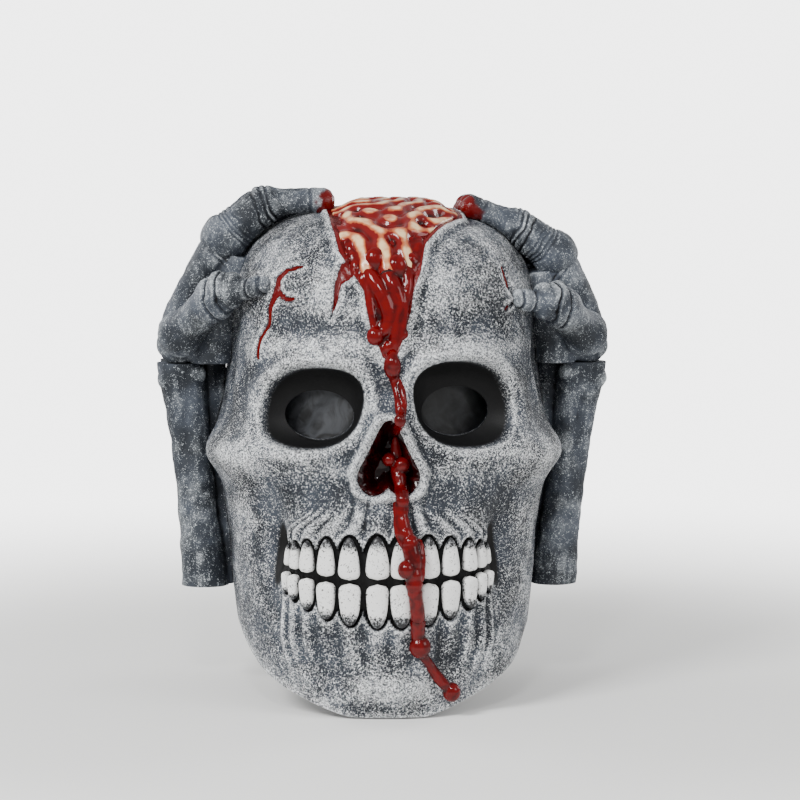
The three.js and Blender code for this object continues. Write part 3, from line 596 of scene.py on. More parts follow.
def painted_latex(name, low, high, dust, threshold, haze_share):
    """Matt cast latex in a dark and a light slate. Pale dry-brushed grains of 0.6 to 1.2 mm stand where a
    fine noise plus a fifth of the wear passes a threshold, over an even haze of the same paint; black covers
    them by the second field, which is painted shade and the sockets' black paint, and wet blood by the
    field blood."""
    material, tree, surface = new_material(name)
    place = add_node(tree, "TexCoord", {}, 3)
    worn, painted_shade_and_black_paint, blood = [add_node(tree, "Attribute", {}, 2, attribute_name=field)
                         for field in ("worn", "painted_shade_and_black_paint", "blood")]
    broad = add_node(tree, "TexNoise", {"Vector": place, "Scale": 42, "Detail": 3})
    grain = add_node(tree, "TexNoise", {"Vector": place, "Scale": 1050, "Detail": 1.4, "Roughness": 0.6,
                                        "Distortion": 1.4})
    patchy = add_node(tree, "Math", (broad, 0.5, -0.25), operation="MULTIPLY_ADD")
    amount = add_node(tree, "Math", (worn, patchy), operation="ADD")
    level = add_node(tree, "Math", (amount, 0.2, grain), operation="MULTIPLY_ADD")
    grains = add_node(tree, "MapRange", (level, threshold, threshold + 0.036), **STEP)
    grains = add_node(tree, "Math", (grains, 0.92), operation="MULTIPLY")
    tone = add_node(tree, "MapRange", (broad, 0.35, 0.7), **STEP)
    haze = add_node(tree, "MapRange", (amount, 0.1, 1.2), **STEP)
    haze = add_node(tree, "Math", (haze, haze_share), operation="MULTIPLY")
    # black where the second field is high: painted shade in recesses and hollows, and the sockets' black
    # paint
    black_of_shade_and_paint = add_node(tree, "MapRange", (painted_shade_and_black_paint, 0.05, 0.8), **STEP)
    ragged = add_node(tree, "Math", (patchy, 0.5, blood), operation="MULTIPLY_ADD")
    wet = add_node(tree, "MapRange", (ragged, 0.35, 0.6), **STEP)
    colour = add_node(tree, "Mix", {0: tone, 6: linear(low), 7: linear(high)}, 2, **COLOURS)
    red = add_node(tree, "Mix", {0: blood, 6: linear("#1c0102"), 7: linear("#6b0405")}, 2, **COLOURS)
    for share, layer in ((haze, linear(dust)), (grains, linear(dust)), (black_of_shade_and_paint, linear("#020203")), (wet, red)):
        colour = add_node(tree, "Mix", {0: share, 6: colour, 7: layer}, 2, **COLOURS)
    tree.links.new(colour, surface.inputs["Base Color"])
    tree.links.new(add_node(tree, "MapRange", (wet, 0, 1, 0.62, 0.18), **STEP), surface.inputs["Roughness"])
    surface.inputs["Specular IOR Level"].default_value = 0.3
    bump = add_node(tree, "Bump", {"Strength": 0.55, "Distance": 0.0003, "Height": grain})
    tree.links.new(bump, surface.inputs["Normal"])
    return material


# brushed white over slate: chalky grains that catch the light on the bone's high places, no gloss
bone_latex = painted_latex("bone_grey_latex", "#1b1f26", "#3c424c", "#eceeef", 0.628, 0.13)
paint_skin(skull_face)
skull_face.data.materials.append(bone_latex)
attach(skull_face, "mask")
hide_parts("skull_face")

# ---- Skull skin, back, and the two nape flaps ---------------------------------------------------------
# The plain back of the same latex skin. A slit from the hem to a round stop hole lets the head in; the
# skin on both sides of it folds outwards.
SLIT_TOP_Z, FLAP_FOOT_X, STOP_RADIUS = -118.0, 70.0, 6.0
back_turns = spaced([(SEAM + 0.003, 0.02), (2 * math.pi - SEAM - 0.003, 0)])
back_shares = spaced([(0, 0.008), (0.64, 0.008), (0.985, 0)])
back_room_turns = spaced([(SEAM - 0.2, 0.03), (2 * math.pi - SEAM + 0.2, 0)])
back_room_shares = spaced([(-0.09, 0.015), (0.985, 0)])


def back_prism(outline):
    """An outline in x and z, clockwise seen from behind, swept level through the back."""
    return prism("slit", outline, lambda a, b, along: (a, along, b), 20, 180)


def flap_outline(side, out):
    """A flap's edge: up the slit, which widens to the stop hole, then down a line that runs so many mm
    outside the fold line, and back along under the hem."""
    run_x, run_z = FLAP_FOOT_X, HEM_Z - SLIT_TOP_Z
    length = math.hypot(run_x, run_z)
    off_x, off_z = -run_z / length * out, run_x / length * out
    corners = [(0.8, HEM_Z - 8), (0.8, -152), (1.8, -138), (4.2, -127), (off_x + 1, SLIT_TOP_Z + off_z),
               (off_x + 1.12 * run_x, SLIT_TOP_Z + off_z + 1.12 * run_z), (off_x + 1.12 * run_x, HEM_Z - 8)]
    return [(side * x, z) for x, z in corners[::side]]


def back_shell(name):
    """The whole back skin, hollow and torn at the crown."""
    shell = wedge(name, back_turns, back_shares, outer_height, -206)
    return cut(shell, wedge("room", back_room_turns, back_room_shares, inner_height, -300), tear_cutter())


stop_hole = oval(0, SLIT_TOP_Z, STOP_RADIUS, STOP_RADIUS, np.linspace(0, 6.1, 36))[::-1]
(apex_x, apex_z), (foot_x, foot_z) = flap_outline(1, 4.8)[4:6]
opening = [(-apex_x, apex_z), (apex_x, apex_z), (foot_x, foot_z), (foot_x, HEM_Z - 20), (-foot_x, HEM_Z - 20),
           (-foot_x, foot_z)]
skull_back = cut(back_shell("skull_back_skin"), back_prism(opening), back_prism(stop_hole))
paint_skin(skull_back)
skull_back.data.materials.append(bone_latex)
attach(skull_back, "mask")
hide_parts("skull_back")
for side, word in ((1, "left"), (-1, "right")):
    flap = cut(back_shell(f"nape_flap_{word}_skin"), back_prism(flap_outline(side, 4.5)), how="INTERSECT")
    cut(flap, back_prism(stop_hole))
    paint_skin(flap)
    flap.data.materials.append(bone_latex)
    # the middle of the fold line, which is on the hinge's axis
    fold = Vector((side * 28.8, 104.8, -153.8)) * MM
    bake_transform(flap)
    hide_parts(f"nape_flap_{word}")

# ---- Crown pad ----------------------------------------------------------------------------------------
# A disc of charcoal foam glued inside the crown, which carries the mask's weight on the wearer's head.
PAD_RADIUS, PAD_THICKNESS, PAD_ROUND = 32.0, 9.0, 3.0
bend = np.linspace(0.25, math.pi / 2, 7)
edge_r, edge_h = PAD_RADIUS - PAD_ROUND + PAD_ROUND * np.sin(bend), PAD_ROUND - PAD_ROUND * np.cos(bend)
r = np.concatenate([[0.01, 14, PAD_RADIUS - PAD_ROUND], edge_r])
h = np.concatenate([[0, 0, 0], edge_h])
r, h = np.concatenate([r, r[::-1]]), np.concatenate([h, PAD_THICKNESS - h[::-1]])
around = np.linspace(0, 2 * math.pi, 97)[:-1]
rings = np.stack([np.outer(r, np.cos(around)), np.outer(r, np.sin(around)), np.outer(h, np.ones(96))], -1)
crown_pad = make_object("crown_pad_foam", rings, grid_faces(len(r), 96, wrap=True))
# dull open cells of about 1 mm
charcoal_foam, tree, surface = new_material("charcoal_foam")
cells = add_node(tree, "TexVoronoi", {"Vector": add_node(tree, "TexCoord", {}, 3), "Scale": 900})
surface.inputs["Base Color"].default_value = linear("#2b2b2e")
surface.inputs["Roughness"].default_value = 0.95
bump = add_node(tree, "Bump", {"Strength": 0.7, "Distance": 0.0004, "Height": cells})
tree.links.new(bump, surface.inputs["Normal"])
crown_pad.data.materials.append(charcoal_foam)
shade(crown_pad)
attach(crown_pad, "mask")
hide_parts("crown_pad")

# ---- Eye gauze ----------------------------------------------------------------------------------------
# Black gauze glued behind each eye opening, which the wearer sees through. It is slack and creased.
GAUZE_X, GAUZE_HALF_X, GAUZE_HALF_Z, GAUZE_THICKNESS, BEHIND_SKIN = 37, 23, 17, 0.9, 24.0


def plate(name, front, back, way=1):
    """A closed plate from two equal grids of points: the front's quads, the back's wound the other way, and
    a band of quads round the edges. way -1 turns them all."""
    rows, columns = front.shape[:2]
    n = rows * columns
    number = np.arange(n).reshape(rows, columns)
    edge = np.concatenate([number[0], number[1:, -1], number[-1, -2::-1], number[-2:0:-1, 0]])
    after = np.roll(edge, -1)
    quads = grid_faces(rows, columns)[:, ::way]
    band = np.stack([after, edge, edge + n, after + n], -1)[:, ::way]
    points = np.concatenate([front.reshape(-1, 3), back.reshape(-1, 3)])
    return make_object(name, points, np.concatenate([quads, (quads + n)[:, ::-1], band]))


# fine threads about 2 mm apart, as coarse as they need to be to show; grey cloudy patches, made four
# times as strong on the wearer's right as painted light falling into that socket
black_gauze, tree, surface = new_material("black_gauze")
place = add_node(tree, "TexCoord", {}, 3)
weave = [add_node(tree, "TexWave", {"Vector": place, "Scale": 1500.0}, bands_direction=d) for d in "XZ"]
threads = add_node(tree, "Math", weave, operation="MULTIPLY")
cloud = add_node(tree, "TexNoise", {"Vector": place, "Scale": 80, "Detail": 4, "Distortion": 1.5})
cloud = add_node(tree, "MapRange", (cloud, 0.36, 0.62), **STEP)
# painted light: the grey is full on the wearer's right (x below 0) and a quarter of that on the left
lit_side_share = add_node(tree, "SeparateXYZ", (place,))
lit_side_share = add_node(tree, "MapRange", (lit_side_share, -0.02, 0.02, 1.0, 0.25), **STEP)
grey_and_painted_light = add_node(tree, "Math", (cloud, lit_side_share), operation="MULTIPLY")
colour = add_node(tree, "Mix", {0: grey_and_painted_light, 6: linear("#0a0b0c"), 7: linear("#393b3f")}, 2, **COLOURS)
tree.links.new(colour, surface.inputs["Base Color"])
surface.inputs["Roughness"].default_value = 0.55
bump = add_node(tree, "Bump", {"Strength": 0.3, "Distance": 0.0002, "Height": threads})
tree.links.new(bump, surface.inputs["Normal"])
for side, word, middle_z in EYE_SIDES:
    u, w = np.meshgrid(GAUZE_HALF_X * np.linspace(-1, 1, 92), GAUZE_HALF_Z * np.linspace(-1, 1, 68))
    x, z = GAUZE_X + u, middle_z + w
    wall = skin(np.linspace(0, 1.4, 80), middle_z, -BEHIND_SKIN)
    creases = noise(np.stack([u + 0.6 * w, 0.35 * w, 0 * u], -1), 8, 31) + 0.9 * np.cos(u / 7 + w / 9)
    front = np.stack([side * x, np.interp(x, wall[:, 0], wall[:, 1]) + creases, z], -1)
    gauze = plate(f"eye_gauze_{word}", front, front + (0, GAUZE_THICKNESS, 0), side)
    gauze.data.materials.append(black_gauze)
    shade(gauze)
    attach(gauze, "mask")
    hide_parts(f"eye_mesh_{word}")

# ---- Brain --------------------------------------------------------------------------------------------
# A separate folded casting that bulges through the tear: cream worm-like folds over a red wash, varnished.
BRAIN_FOLD_PITCH, BRAIN_FOLD_HEIGHT, BRAIN_STEP = 10.8, 3.8, 0.62


def labyrinth(rows, columns, step, pitch, seed, rounds=9):
    """A field of winding stripes: random numbers, again and again held within -1 to 1 by tanh and cut down
    to waves of about one pitch with a Fourier ring filter."""
    field = np.random.default_rng(seed).normal(size=(rows, columns))
    waves = np.hypot(np.fft.fftfreq(rows, step)[:, None], np.fft.fftfreq(columns, step)[None])
    ring = np.exp(-(((waves - 1 / pitch) / (0.3 / pitch)) ** 2))
    for _ in range(rounds):
        field = np.fft.ifft2(np.fft.fft2(np.tanh(2.5 * field / field.std())) * ring).real
    return field / np.abs(field).max()


def over_tear(a, b):
    """Turn and height of the skin seen from the equator's centre, a across and b down the tear's axis,
    as arcs in mm on a ball of 90 mm about that axis: the ray leans by the arc over 90."""
    s, c = math.sin(TEAR_LEAN), math.cos(TEAR_LEAN)
    far = np.maximum(np.hypot(a, b), 1e-9)
    angle = far / 90
    across, down, along = np.sin(angle) * a / far, np.sin(angle) * b / far, np.cos(angle)
    ray = np.stack([across, -c * down - s * along, -s * down + c * along], -1) * 90 + (0, 0, EQUATOR_Z)
    return turn_and_height(ray)[:2]


def grown(outline, centre, by):
    """Corners moved straight away from a centre by so many mm."""
    way = np.asarray(outline, float) - centre
    return outline + by * way / np.linalg.norm(way, axis=1, keepdims=True)


a, b = np.meshgrid(np.arange(-50, 58, BRAIN_STEP), np.arange(-72, 52, BRAIN_STEP))
theta, z = over_tear(a, b)
plain = skin(theta, z)
from_tear = to_outline(plain[..., 0], tear_down(plain[..., 1], plain[..., 2]), TEAR)
stripes = labyrinth(*a.shape, BRAIN_STEP, BRAIN_FOLD_PITCH, 8)
folds = np.clip((stripes + 0.62) / 1.05, 0, 1)
swell = -2.4 + 4.6 * smooth(-from_tear, 0.5, 16) + 0.5 * noise(plain, 25, 15)
sunk = 5.5 * smooth(from_tear, -2.0, 0.6)
top = skin(theta, z, swell + BRAIN_FOLD_HEIGHT * np.sin(folds * math.pi / 2) ** 0.8 - sunk)
brain = plate("brain_folds", top, skin(theta, z, -9), -1)
add_attribute(brain, "fold", np.concatenate([folds.ravel(), 0 * folds.ravel()]))
reach_of_brain = rounded(grown(TEAR[4:-4], np.mean(TEAR, axis=0), 2.6), 4)
cut(brain, prism("reach", reach_of_brain, tear_point, -8, 160), how="INTERSECT")
shade(brain, 70)
# cream on top of the folds, deep red in the furrows, under a clear varnish that glints
brain_latex, tree, surface = new_material("brain_latex")
fold = add_node(tree, "Attribute", {}, 2, attribute_name="fold")
blotch = add_node(tree, "TexNoise", {"Vector": add_node(tree, "TexCoord", {}, 3), "Scale": 120, "Detail": 3})
uneven = add_node(tree, "Math", (blotch, 1.1, -0.55), operation="MULTIPLY_ADD")
height = add_node(tree, "Math", (fold, uneven), operation="ADD")
out_of_furrow = add_node(tree, "MapRange", (fold, 0.0, 0.3), **STEP)
on_top = add_node(tree, "MapRange", (height, 0.8, 1.15), **STEP)
on_fold = add_node(tree, "MapRange", (height, 0.62, 0.8), **STEP)
red = add_node(tree, "Mix", {0: out_of_furrow, 6: linear("#260002"), 7: linear("#6f0504")}, 2, **COLOURS)
cream = add_node(tree, "Mix", {0: on_top, 6: linear("#b5603a"), 7: linear("#f0cf9e")}, 2, **COLOURS)
colour = add_node(tree, "Mix", {0: on_fold, 6: red, 7: cream}, 2, **COLOURS)
tree.links.new(colour, surface.inputs["Base Color"])
surface.inputs["Roughness"].default_value = 0.22
surface.inputs["Specular IOR Level"].default_value = 0.2
surface.inputs["Coat Weight"].default_value = 0.45
surface.inputs["Coat Roughness"].default_value = 0.06
bump = add_node(tree, "Bump", {"Strength": 0.25, "Distance": 0.0004, "Height": blotch})
tree.links.new(bump, surface.inputs["Normal"])
brain.data.materials.append(brain_latex)
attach(brain, "mask")
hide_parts("brain_insert")

# ---- Nose lining --------------------------------------------------------------------------------------
# A dark red cup glued behind the nose opening, wet with gore.
NOSE_MIDDLE = (0, -124)
u, w = np.meshgrid(np.arange(-24, 24.1, 0.8), np.arange(-150, -92, 0.8))
hollow = -6.2 - 9 * smooth(-to_outline(u, w, NOSE), -2, 9) + 1.2 * noise(np.stack([u, 0 * u, w], -1), 6, 41)
turn = turn_at(u, w)
nose_lining = plate("nose_lining", skin(turn, w, hollow), skin(turn, w, hollow - 2.0))
reach_of_lining = rounded(grown(NOSE[::-1], NOSE_MIDDLE, 3.4), 4)
cut(nose_lining, prism("reach", reach_of_lining, forwards, 50, 150), how="INTERSECT")
shade(nose_lining)


def wet_gore(name, deep, bright):
    """Thick varnished filler: deep red that turns bright where a lightness field and a slow swirl add up. The
    field is partly painted light: a highlight where the gore stands out, shade deep inside the nose.
    """
    material, tree, surface = new_material(name)
    place = add_node(tree, "TexCoord", {}, 3)
    lightness_and_painted_light = add_node(tree, "Attribute", {}, 2, attribute_name="lightness_and_painted_light")
    swirl = add_node(tree, "TexNoise", {"Vector": place, "Scale": 140, "Detail": 2.5, "Distortion": 1.0})
    share = add_node(tree, "Math", (lightness_and_painted_light, swirl), operation="ADD")
    share = add_node(tree, "MapRange", (share, 0.6, 1.4), **STEP)
    colour = add_node(tree, "Mix", {0: share, 6: linear(deep), 7: linear(bright)}, 2, **COLOURS)
    tree.links.new(colour, surface.inputs["Base Color"])
    surface.inputs["Roughness"].default_value = 0.2
    surface.inputs["Specular IOR Level"].default_value = 0.05
    surface.inputs["Coat Weight"].default_value = 0.5
    surface.inputs["Coat Roughness"].default_value = 0.03
    surface.inputs["IOR"].default_value = 1.45
    return material


# a sharp clear coat over a body that hardly shines, so that the red stays deep between the glints
gloss_gore = wet_gore("gloss_gore", "#180001", "#6a0102")
# painted shade: the lining's red darkens from the nose opening towards the back of the cup
add_attribute(nose_lining, "lightness_and_painted_light", 0.25 * smooth(points_of(nose_lining)[:, 1], -84, -98))
nose_lining.data.materials.append(gloss_gore)
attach(nose_lining, "mask")
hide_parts("nasal_lining")

# ---- Teeth --------------------------------------------------------------------------------------------
# Two rows of clenched teeth, cast one by one in white latex and glued in dark arched recesses.
# satin white with fine dark specks, greyer and more specked towards the roots and the sides
tooth_latex, tree, surface = new_material("tooth_white_latex")
place = add_node(tree, "TexCoord", {}, 3)
root_and_side_share = add_node(tree, "Attribute", {}, 2, attribute_name="root_and_side_share")
speck = add_node(tree, "TexNoise", {"Vector": place, "Scale": 820, "Detail": 1.5, "Distortion": 1.2})
level = add_node(tree, "Math", (root_and_side_share, 0.3, speck), operation="MULTIPLY_ADD")
dull = add_node(tree, "MapRange", (root_and_side_share, 0.05, 0.9), **STEP)
specked = add_node(tree, "MapRange", (level, 0.635, 0.69), **STEP)
white = add_node(tree, "Mix", {0: dull, 6: linear("#eeeeec"), 7: linear("#8a8c8f")}, 2, **COLOURS)
colour = add_node(tree, "Mix", {0: specked, 6: white, 7: linear("#16171a")}, 2, **COLOURS)
tree.links.new(colour, surface.inputs["Base Color"])
surface.inputs["Roughness"].default_value = 0.42
bump = add_node(tree, "Bump", {"Strength": 0.4, "Distance": 0.0003, "Height": speck})
tree.links.new(bump, surface.inputs["Normal"])
TOOTH_RINGS, TOOTH_SIDES, TOOTH_DEPTH = 27, 40, 3.6


def tooth(k, way):
    """Points of tooth k of a row, and how grey it is towards the root and the sides. Rings from bite to root
    are superellipses of power 0.8, whose width shrinks as v^1.7 to the root and whose ends close as the root
    of
    1 - |2v - 1|^n; all stand on the middle height of the sculpted face behind them."""
    side, i = (1, k) if k < 6 else (-1, k - 6)
    rng = np.random.default_rng(100 + 13 * k + (way > 0))
    middle, half = side * TOOTH_X[i] + rng.uniform(-0.4, 0.4), TOOTH_HALF[i] * rng.uniform(0.93, 1.0)
    v, angle = np.meshgrid(np.linspace(0, 1, TOOTH_RINGS), np.linspace(0, 2 * math.pi, TOOTH_SIDES + 1)[:-1],
                           indexing="ij")
    root = gum_line(np.array([middle]), way)[0] - way * 1.2
    bite = bite_line(middle) + way * (0.9 + rng.uniform(0, 0.8))
    end = np.clip(1 - np.abs(2 * v - 1) ** np.where(v > 0.5, 3.5, 9), 0, 1) ** 0.5
    waist = 1 - (0.62 if way > 0 else 0.45) * v**1.7 - 0.06 * (1 - v) ** 4
    across = np.sign(np.cos(angle)) * np.abs(np.cos(angle)) ** 0.8 * half * waist * end
    out = np.sign(np.sin(angle)) * np.abs(np.sin(angle)) ** 0.8 * TOOTH_DEPTH * (1 - 0.3 * v) * end
    x = middle + across
    z = bite + (root - bite) * v + way * 0.6 * (across / half) ** 2 + rng.uniform(-0.05, 0.05) * across
    face = np.median(sculpt(turn_at(np.full_like(x, middle), z), z)[0])
    rough = 0.25 * noise(np.stack([x, out, z * 0.4], -1), 2.6, 50 + k)
    points = skin(turn_at(x, z), z, face + 2.2 + out + rough)
    root_and_side_grey = smooth(v, 0.55, 0.95) * 0.9 + 0.75 * smooth(np.abs(across / half), 0.72, 1.0)
    return points.reshape(-1, 3), (root_and_side_grey + 0.3 * rng.uniform() * v - 0.15).ravel()


for way, word in ((1, "upper"), (-1, "lower")):
    points, root_and_side_greys = zip(*[tooth(k, way) for k in range(12)])
    count, ring = TOOTH_RINGS * TOOTH_SIDES, np.arange(TOOTH_SIDES)
    faces = [f[::way] for k in range(12) for f in grid_faces(TOOTH_RINGS, TOOTH_SIDES, k * count, wrap=True)]
    for first in range(0, 12 * count, count):
        faces += [(ring[::-1] + first)[::way], (ring + first + count - TOOTH_SIDES)[::way]]
    row = make_object(f"{word}_teeth_row", np.concatenate(points), faces)
    add_attribute(row, "root_and_side_share", np.clip(np.concatenate(root_and_side_greys), 0, 1))
    row.data.materials.append(tooth_latex)
    shade(row, 60)
    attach(row, "mask")
    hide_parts(f"{word}_teeth")

# ---- Gore ---------------------------------------------------------------------------------------------
# Thick clear-red filler poured over the finished face: a sheet in the foot of the tear, a run between the
# eyes, and a long one from the nose over lip, teeth and chin. It swells to beads where it stopped.


def tube(path, radii, sides=18):
    """A closed round tube along points with a radius at each, as points and faces: rings turned by cosine
    and sine in the two directions across the path, flat faces at both ends."""
    path, radii = np.asarray(path, float), np.asarray(radii, float)
    along = np.gradient(path, axis=0)
    along /= np.maximum(np.linalg.norm(along, axis=1, keepdims=True), 1e-9)
    spare = np.array([0, 1, 0]) if abs(along[:, 1]).mean() < 0.8 else np.array([1, 0, 0])
    one = np.cross(along, spare)
    one /= np.linalg.norm(one, axis=1, keepdims=True)
    two = np.cross(along, one)
    a = np.linspace(0, 2 * math.pi, sides + 1)[:-1]
    ring = np.cos(a)[None, :, None] * one[:, None] + np.sin(a)[None, :, None] * two[:, None]
    points = (path[:, None] + ring * radii[:, None, None]).reshape(-1, 3)
    faces = [list(f) for f in grid_faces(len(path), sides, wrap=True)]
    faces += [list(range(sides))[::-1], list(range(len(points) - sides, len(points)))]
    return points, faces


def ball(centre, radius, squash=(1, 1, 1)):
    """A ball, squeezed along x, y and z: a tube up its axis, its radius the sine of the turn from below."""
    a = np.linspace(0.12, math.pi - 0.12, 13)
    path = np.stack([0 * a, 0 * a, -np.cos(a)], -1) * radius
    points, faces = tube(path, np.sin(a) * radius, 20)
    return points * squash + centre, faces


def through(points, steps):
    """An open Catmull-Rom curve through rows of numbers, with so many steps to each stretch."""
    p = np.asarray(points, float)
    p = np.vstack([2 * p[0] - p[1], p, 2 * p[-1] - p[-2]])
    return np.vstack([between(p[:-3], p[1:-2], p[2:-1], p[3:], steps), p[-2:-1]])


def blunt(count, power):
    """Shares for the radii of a tube with blunt ends: the root of 1 - s^power, s going from -1 to 1."""
    return np.sqrt(np.clip(1 - np.linspace(-1, 1, count) ** power, 0.05, 1))


def fused(name, parts, cell, rounds):
    """Closed parts made one skin by a voxel remesh with cells of that size, then moved halfway to their
    evened places so many times."""
    points, faces, first = [], [], 0
    for p, f in parts:
        points.append(p)
        faces += [[i + first for i in face] for face in f]
        first += len(p)
    obj = make_object(name, np.concatenate(points), faces)
    step = obj.modifiers.new("fuse", "REMESH")
    step.mode, step.voxel_size, step.use_smooth_shade = "VOXEL", cell * MM, True
    baked(obj)
    p = points_of(obj)
    for _ in range(rounds):
        p = 0.5 * p + 0.5 * evened(obj, p, 1)
    move_points(obj, p)
    return obj


def on_face(x, z, out):
    """Points so many mm off the sculpted face at x and z. Recesses count as filled: over the mouth to a
    low swell, elsewhere to 1.5 mm below the plain skin."""
    x, z, out = np.broadcast_arrays(*[np.asarray(v, float) for v in (x, z, out)])
    turn = turn_at(x, z)
    up = sculpt(turn, z)[0]
    mouth = (z < gum_line(x, 1) + 1) & (z > gum_line(x, -1) - 1)
    up = np.where(mouth, np.maximum(up, 5 * np.exp(-(((z + 188) / 34) ** 2)) + 0.4), np.maximum(up, -1.5))
    return skin(turn, z, up + out)


def run(points):
    """A run of gore through [x, z, off the face, radius] rows, with slow swellings of a seventh."""
    rows = through(points, 10)
    wobble = 1 + 0.14 * noise(np.stack([rows[:, 1]] * 3, -1) * (1, 0.3, 0.2), 4.5, 61)
    return tube(on_face(*rows.T[:3]), rows[:, 3] * wobble * blunt(len(rows), 16))


def bead(x, z, out, radius, squash=(1, 1, 1)):
    """A ball whose middle is so many mm off the face."""
    return ball(on_face(x, z, out), radius, squash)


def finish_gore(obj, node, lightness_and_painted_light):
    """Paints gore brighter where it stands out over 3 and over 16 rounds of evening, which is a painted
    highlight on its beads and ridges, and fixes it.
    """
    fine, wide = raised(obj, 3, 0.25), raised(obj, 16, 1.0)
    add_attribute(obj, "lightness_and_painted_light", np.clip(lightness_and_painted_light + 0.35 * wide + 0.2 * fine, 0, 1))
    obj.data.materials.append(gloss_gore)
    shade(obj, 80)
    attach(obj, "mask")
    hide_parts(node)


def flow(points):
    """A ribbon of gore down the tear, through [x, z, off the plain skin, radius] rows."""
    x, z, out, radius = through(points, 9).T
    return tube(skin(turn_at(x, z), z, out), radius * blunt(len(x), 12), 16)


# the sheet in the tear: a bed of small balls between its edges, ribbons over it, beads where they stopped
rng = np.random.default_rng(5)
sheet, levels = [], np.linspace(-75, 15, 120)
for down in np.arange(-50, 1, 2.6):
    left = np.interp(down, [-48, -31, -22, -12, 0], [-22, -16.5, -10, -8, -1])
    right = np.interp(down, [-48, -31, -22, -13, 0], [19, 16, 11.5, 9, 2])
    for across in np.arange(left, right + 0.1, 2.8):
        x, row_down = across + rng.uniform(-0.5, 0.5), down + rng.uniform(-0.6, 0.6)
        column = skin(turn_at(x, levels), levels)
        sheet.append((x, float(np.interp(-row_down, -tear_down(column[:, 1], levels), levels))))
parts = []
for x, z in sheet:
    middle = skin(turn_at(x, z), z, -2.2 + 0.9 * rng.uniform())
    parts.append(ball(middle, rng.uniform(3.4, 4.4), (1, 0.8, 1.3)))
parts += [flow(rows) for rows in (
    [(-13, -12, -1, 3.4), (-8, -20, 0, 4.6), (-2, -31, 0.4, 5.0), (0, -42, 0.2, 4.2), (-4, -51, 0.6, 3.6)],
    [(-3, -11, -0.5, 3.4), (2, -22, 0.4, 5.4), (6, -33, 0.2, 4.6), (4, -44, 0.6, 3.4), (3, -60, 0.5, 3.4)],
    [(10, -11, 0, 3.4), (11, -22, 0.2, 3.6), (9, -35, 0.8, 2.6), (7.5, -47, 0.8, 2.4), (3, -61, 0.4, 2.4)],
    [(-12, -16, -1, 3), (-11, -28, -0.6, 3), (-9, -40, 0.6, 2.4), (-8, -47, 0, 2.4)],
)]
for x, z, out, radius in [(-7.5, -51, 1.6, 4.9), (-7, -9, 1.0, 6.6), (4.5, -13, 1.4, 6.4), (13, -9, 0, 4),
                          (8, -50, 0.2, 3.2), (0, -57, 0.8, 3.4), (-3.5, -58.5, -0.6, 3.8),
                          (4.5, -58.5, -0.6, 3.8), (0.8, -64, 0, 3.6)]:
    parts.append(ball(skin(turn_at(x, z), z, out), radius, (1, 0.85, 1.1)))
finish_gore(fused("gore_in_the_tear", parts, 0.55, 7), "forehead_gore", 0.62)

# the narrow double run between the eyes, down to the nose
parts = [
    run([(2, -58, -0.5, 2.6), (2, -66, 1.0, 4.4), (2.4, -71, 0.8, 4.2), (4, -78, 0.2, 2.5),
         (5, -86, 0.2, 2.3), (5.6, -94, 0.3, 2.8), (5.4, -100, -2.5, 3.0), (4.4, -106, -8, 2.6)]),
    run([(5, -74, -0.2, 1.6), (7.4, -82, 0, 1.7), (7.6, -92, 0, 1.8), (6.4, -98, -1.5, 2)]),
    bead(1.9, -67.5, 1.0, 5.2, (0.95, 0.9, 1.45)), bead(5.2, -97, 0.2, 3.4, (1, 1, 1.2)),
]
finish_gore(fused("gore_between_the_eyes", parts, 0.45, 3), "gore_brow_run", 0.5)

# the long run from inside the nose over lip, teeth and chin, with two thin ones beside it
parts = [
    run([(4.4, -108, -9, 3.0), (5, -118, -8.5, 3.6), (6, -127, -6.5, 4.2), (7, -136, -2.4, 4.0),
         (7.4, -144, 0.6, 3.8), (7, -152, 1.2, 3.8), (8.5, -160, 1.4, 4.4), (11, -168, 2.6, 4.8),
         (12.5, -178, 3.4, 4.8), (12.5, -188, 3.6, 4.6), (14, -200, 3.4, 4.4), (15.5, -211, 2.4, 4.0),
         (16, -220, 1.2, 4.0), (18, -229, 0.8, 3.2), (23, -237, 0.8, 2.8), (29, -246, 1.0, 3.4),
         (34, -252, 1.0, 4.6)]),
    run([(4, -143, 0, 2.2), (4.6, -151, 0.6, 2.4), (5, -160, 0.8, 2.6), (8, -169, 2.4, 2.2)]),
    run([(16, -164, 2, 2), (17, -176, 3.2, 2.2), (16, -188, 3.4, 2)]),
    bead(0.5, -121, -6.5, 4.0), bead(8.2, -124, -5.5, 4.6), bead(8.5, -180.5, 5.0, 5.0, (1, 1, 1.1)),
    bead(17, -226, 2.0, 6.2, (1, 0.8, 1.05)), bead(35.5, -254, 1.6, 5.2, (1, 0.9, 1.1)),
    bead(11, -166, 3, 5.0),
]
finish_gore(fused("gore_over_the_mouth", parts, 0.5, 3), "gore_long_run", 0.5)

# ---- Skeleton hands -----------------------------------------------------------------------------------
# Two skeleton forearms and hands, cast in darker latex and glued on so that they grip the skull: two long
# bones with a web, wrist and hand bones, thumb, and four fingers. The wearer's left hand sits lower.
WRIST_Z = -72.0
# the same brushed finish, darker and smoother than the skull's, so that its ridges show as soft pale edges
hand_latex = painted_latex("dark_grey_latex", "#22262c", "#474d57", "#c6ccd0", 0.675, 0.5)


def side_x(y, z):
    """Half width of the plain skin at y and z, by its superellipse."""
    width, front, back = half_axes(np.asarray(z, float))
    h = np.clip((z - EQUATOR_Z) / (CROWN_Z - EQUATOR_Z), 0, 1)
    depth = front if y < 0 else back
    return float(width * max(np.cbrt(1 - h**3) ** POWER - (abs(y) / depth) ** POWER, 0) ** (1 / POWER))


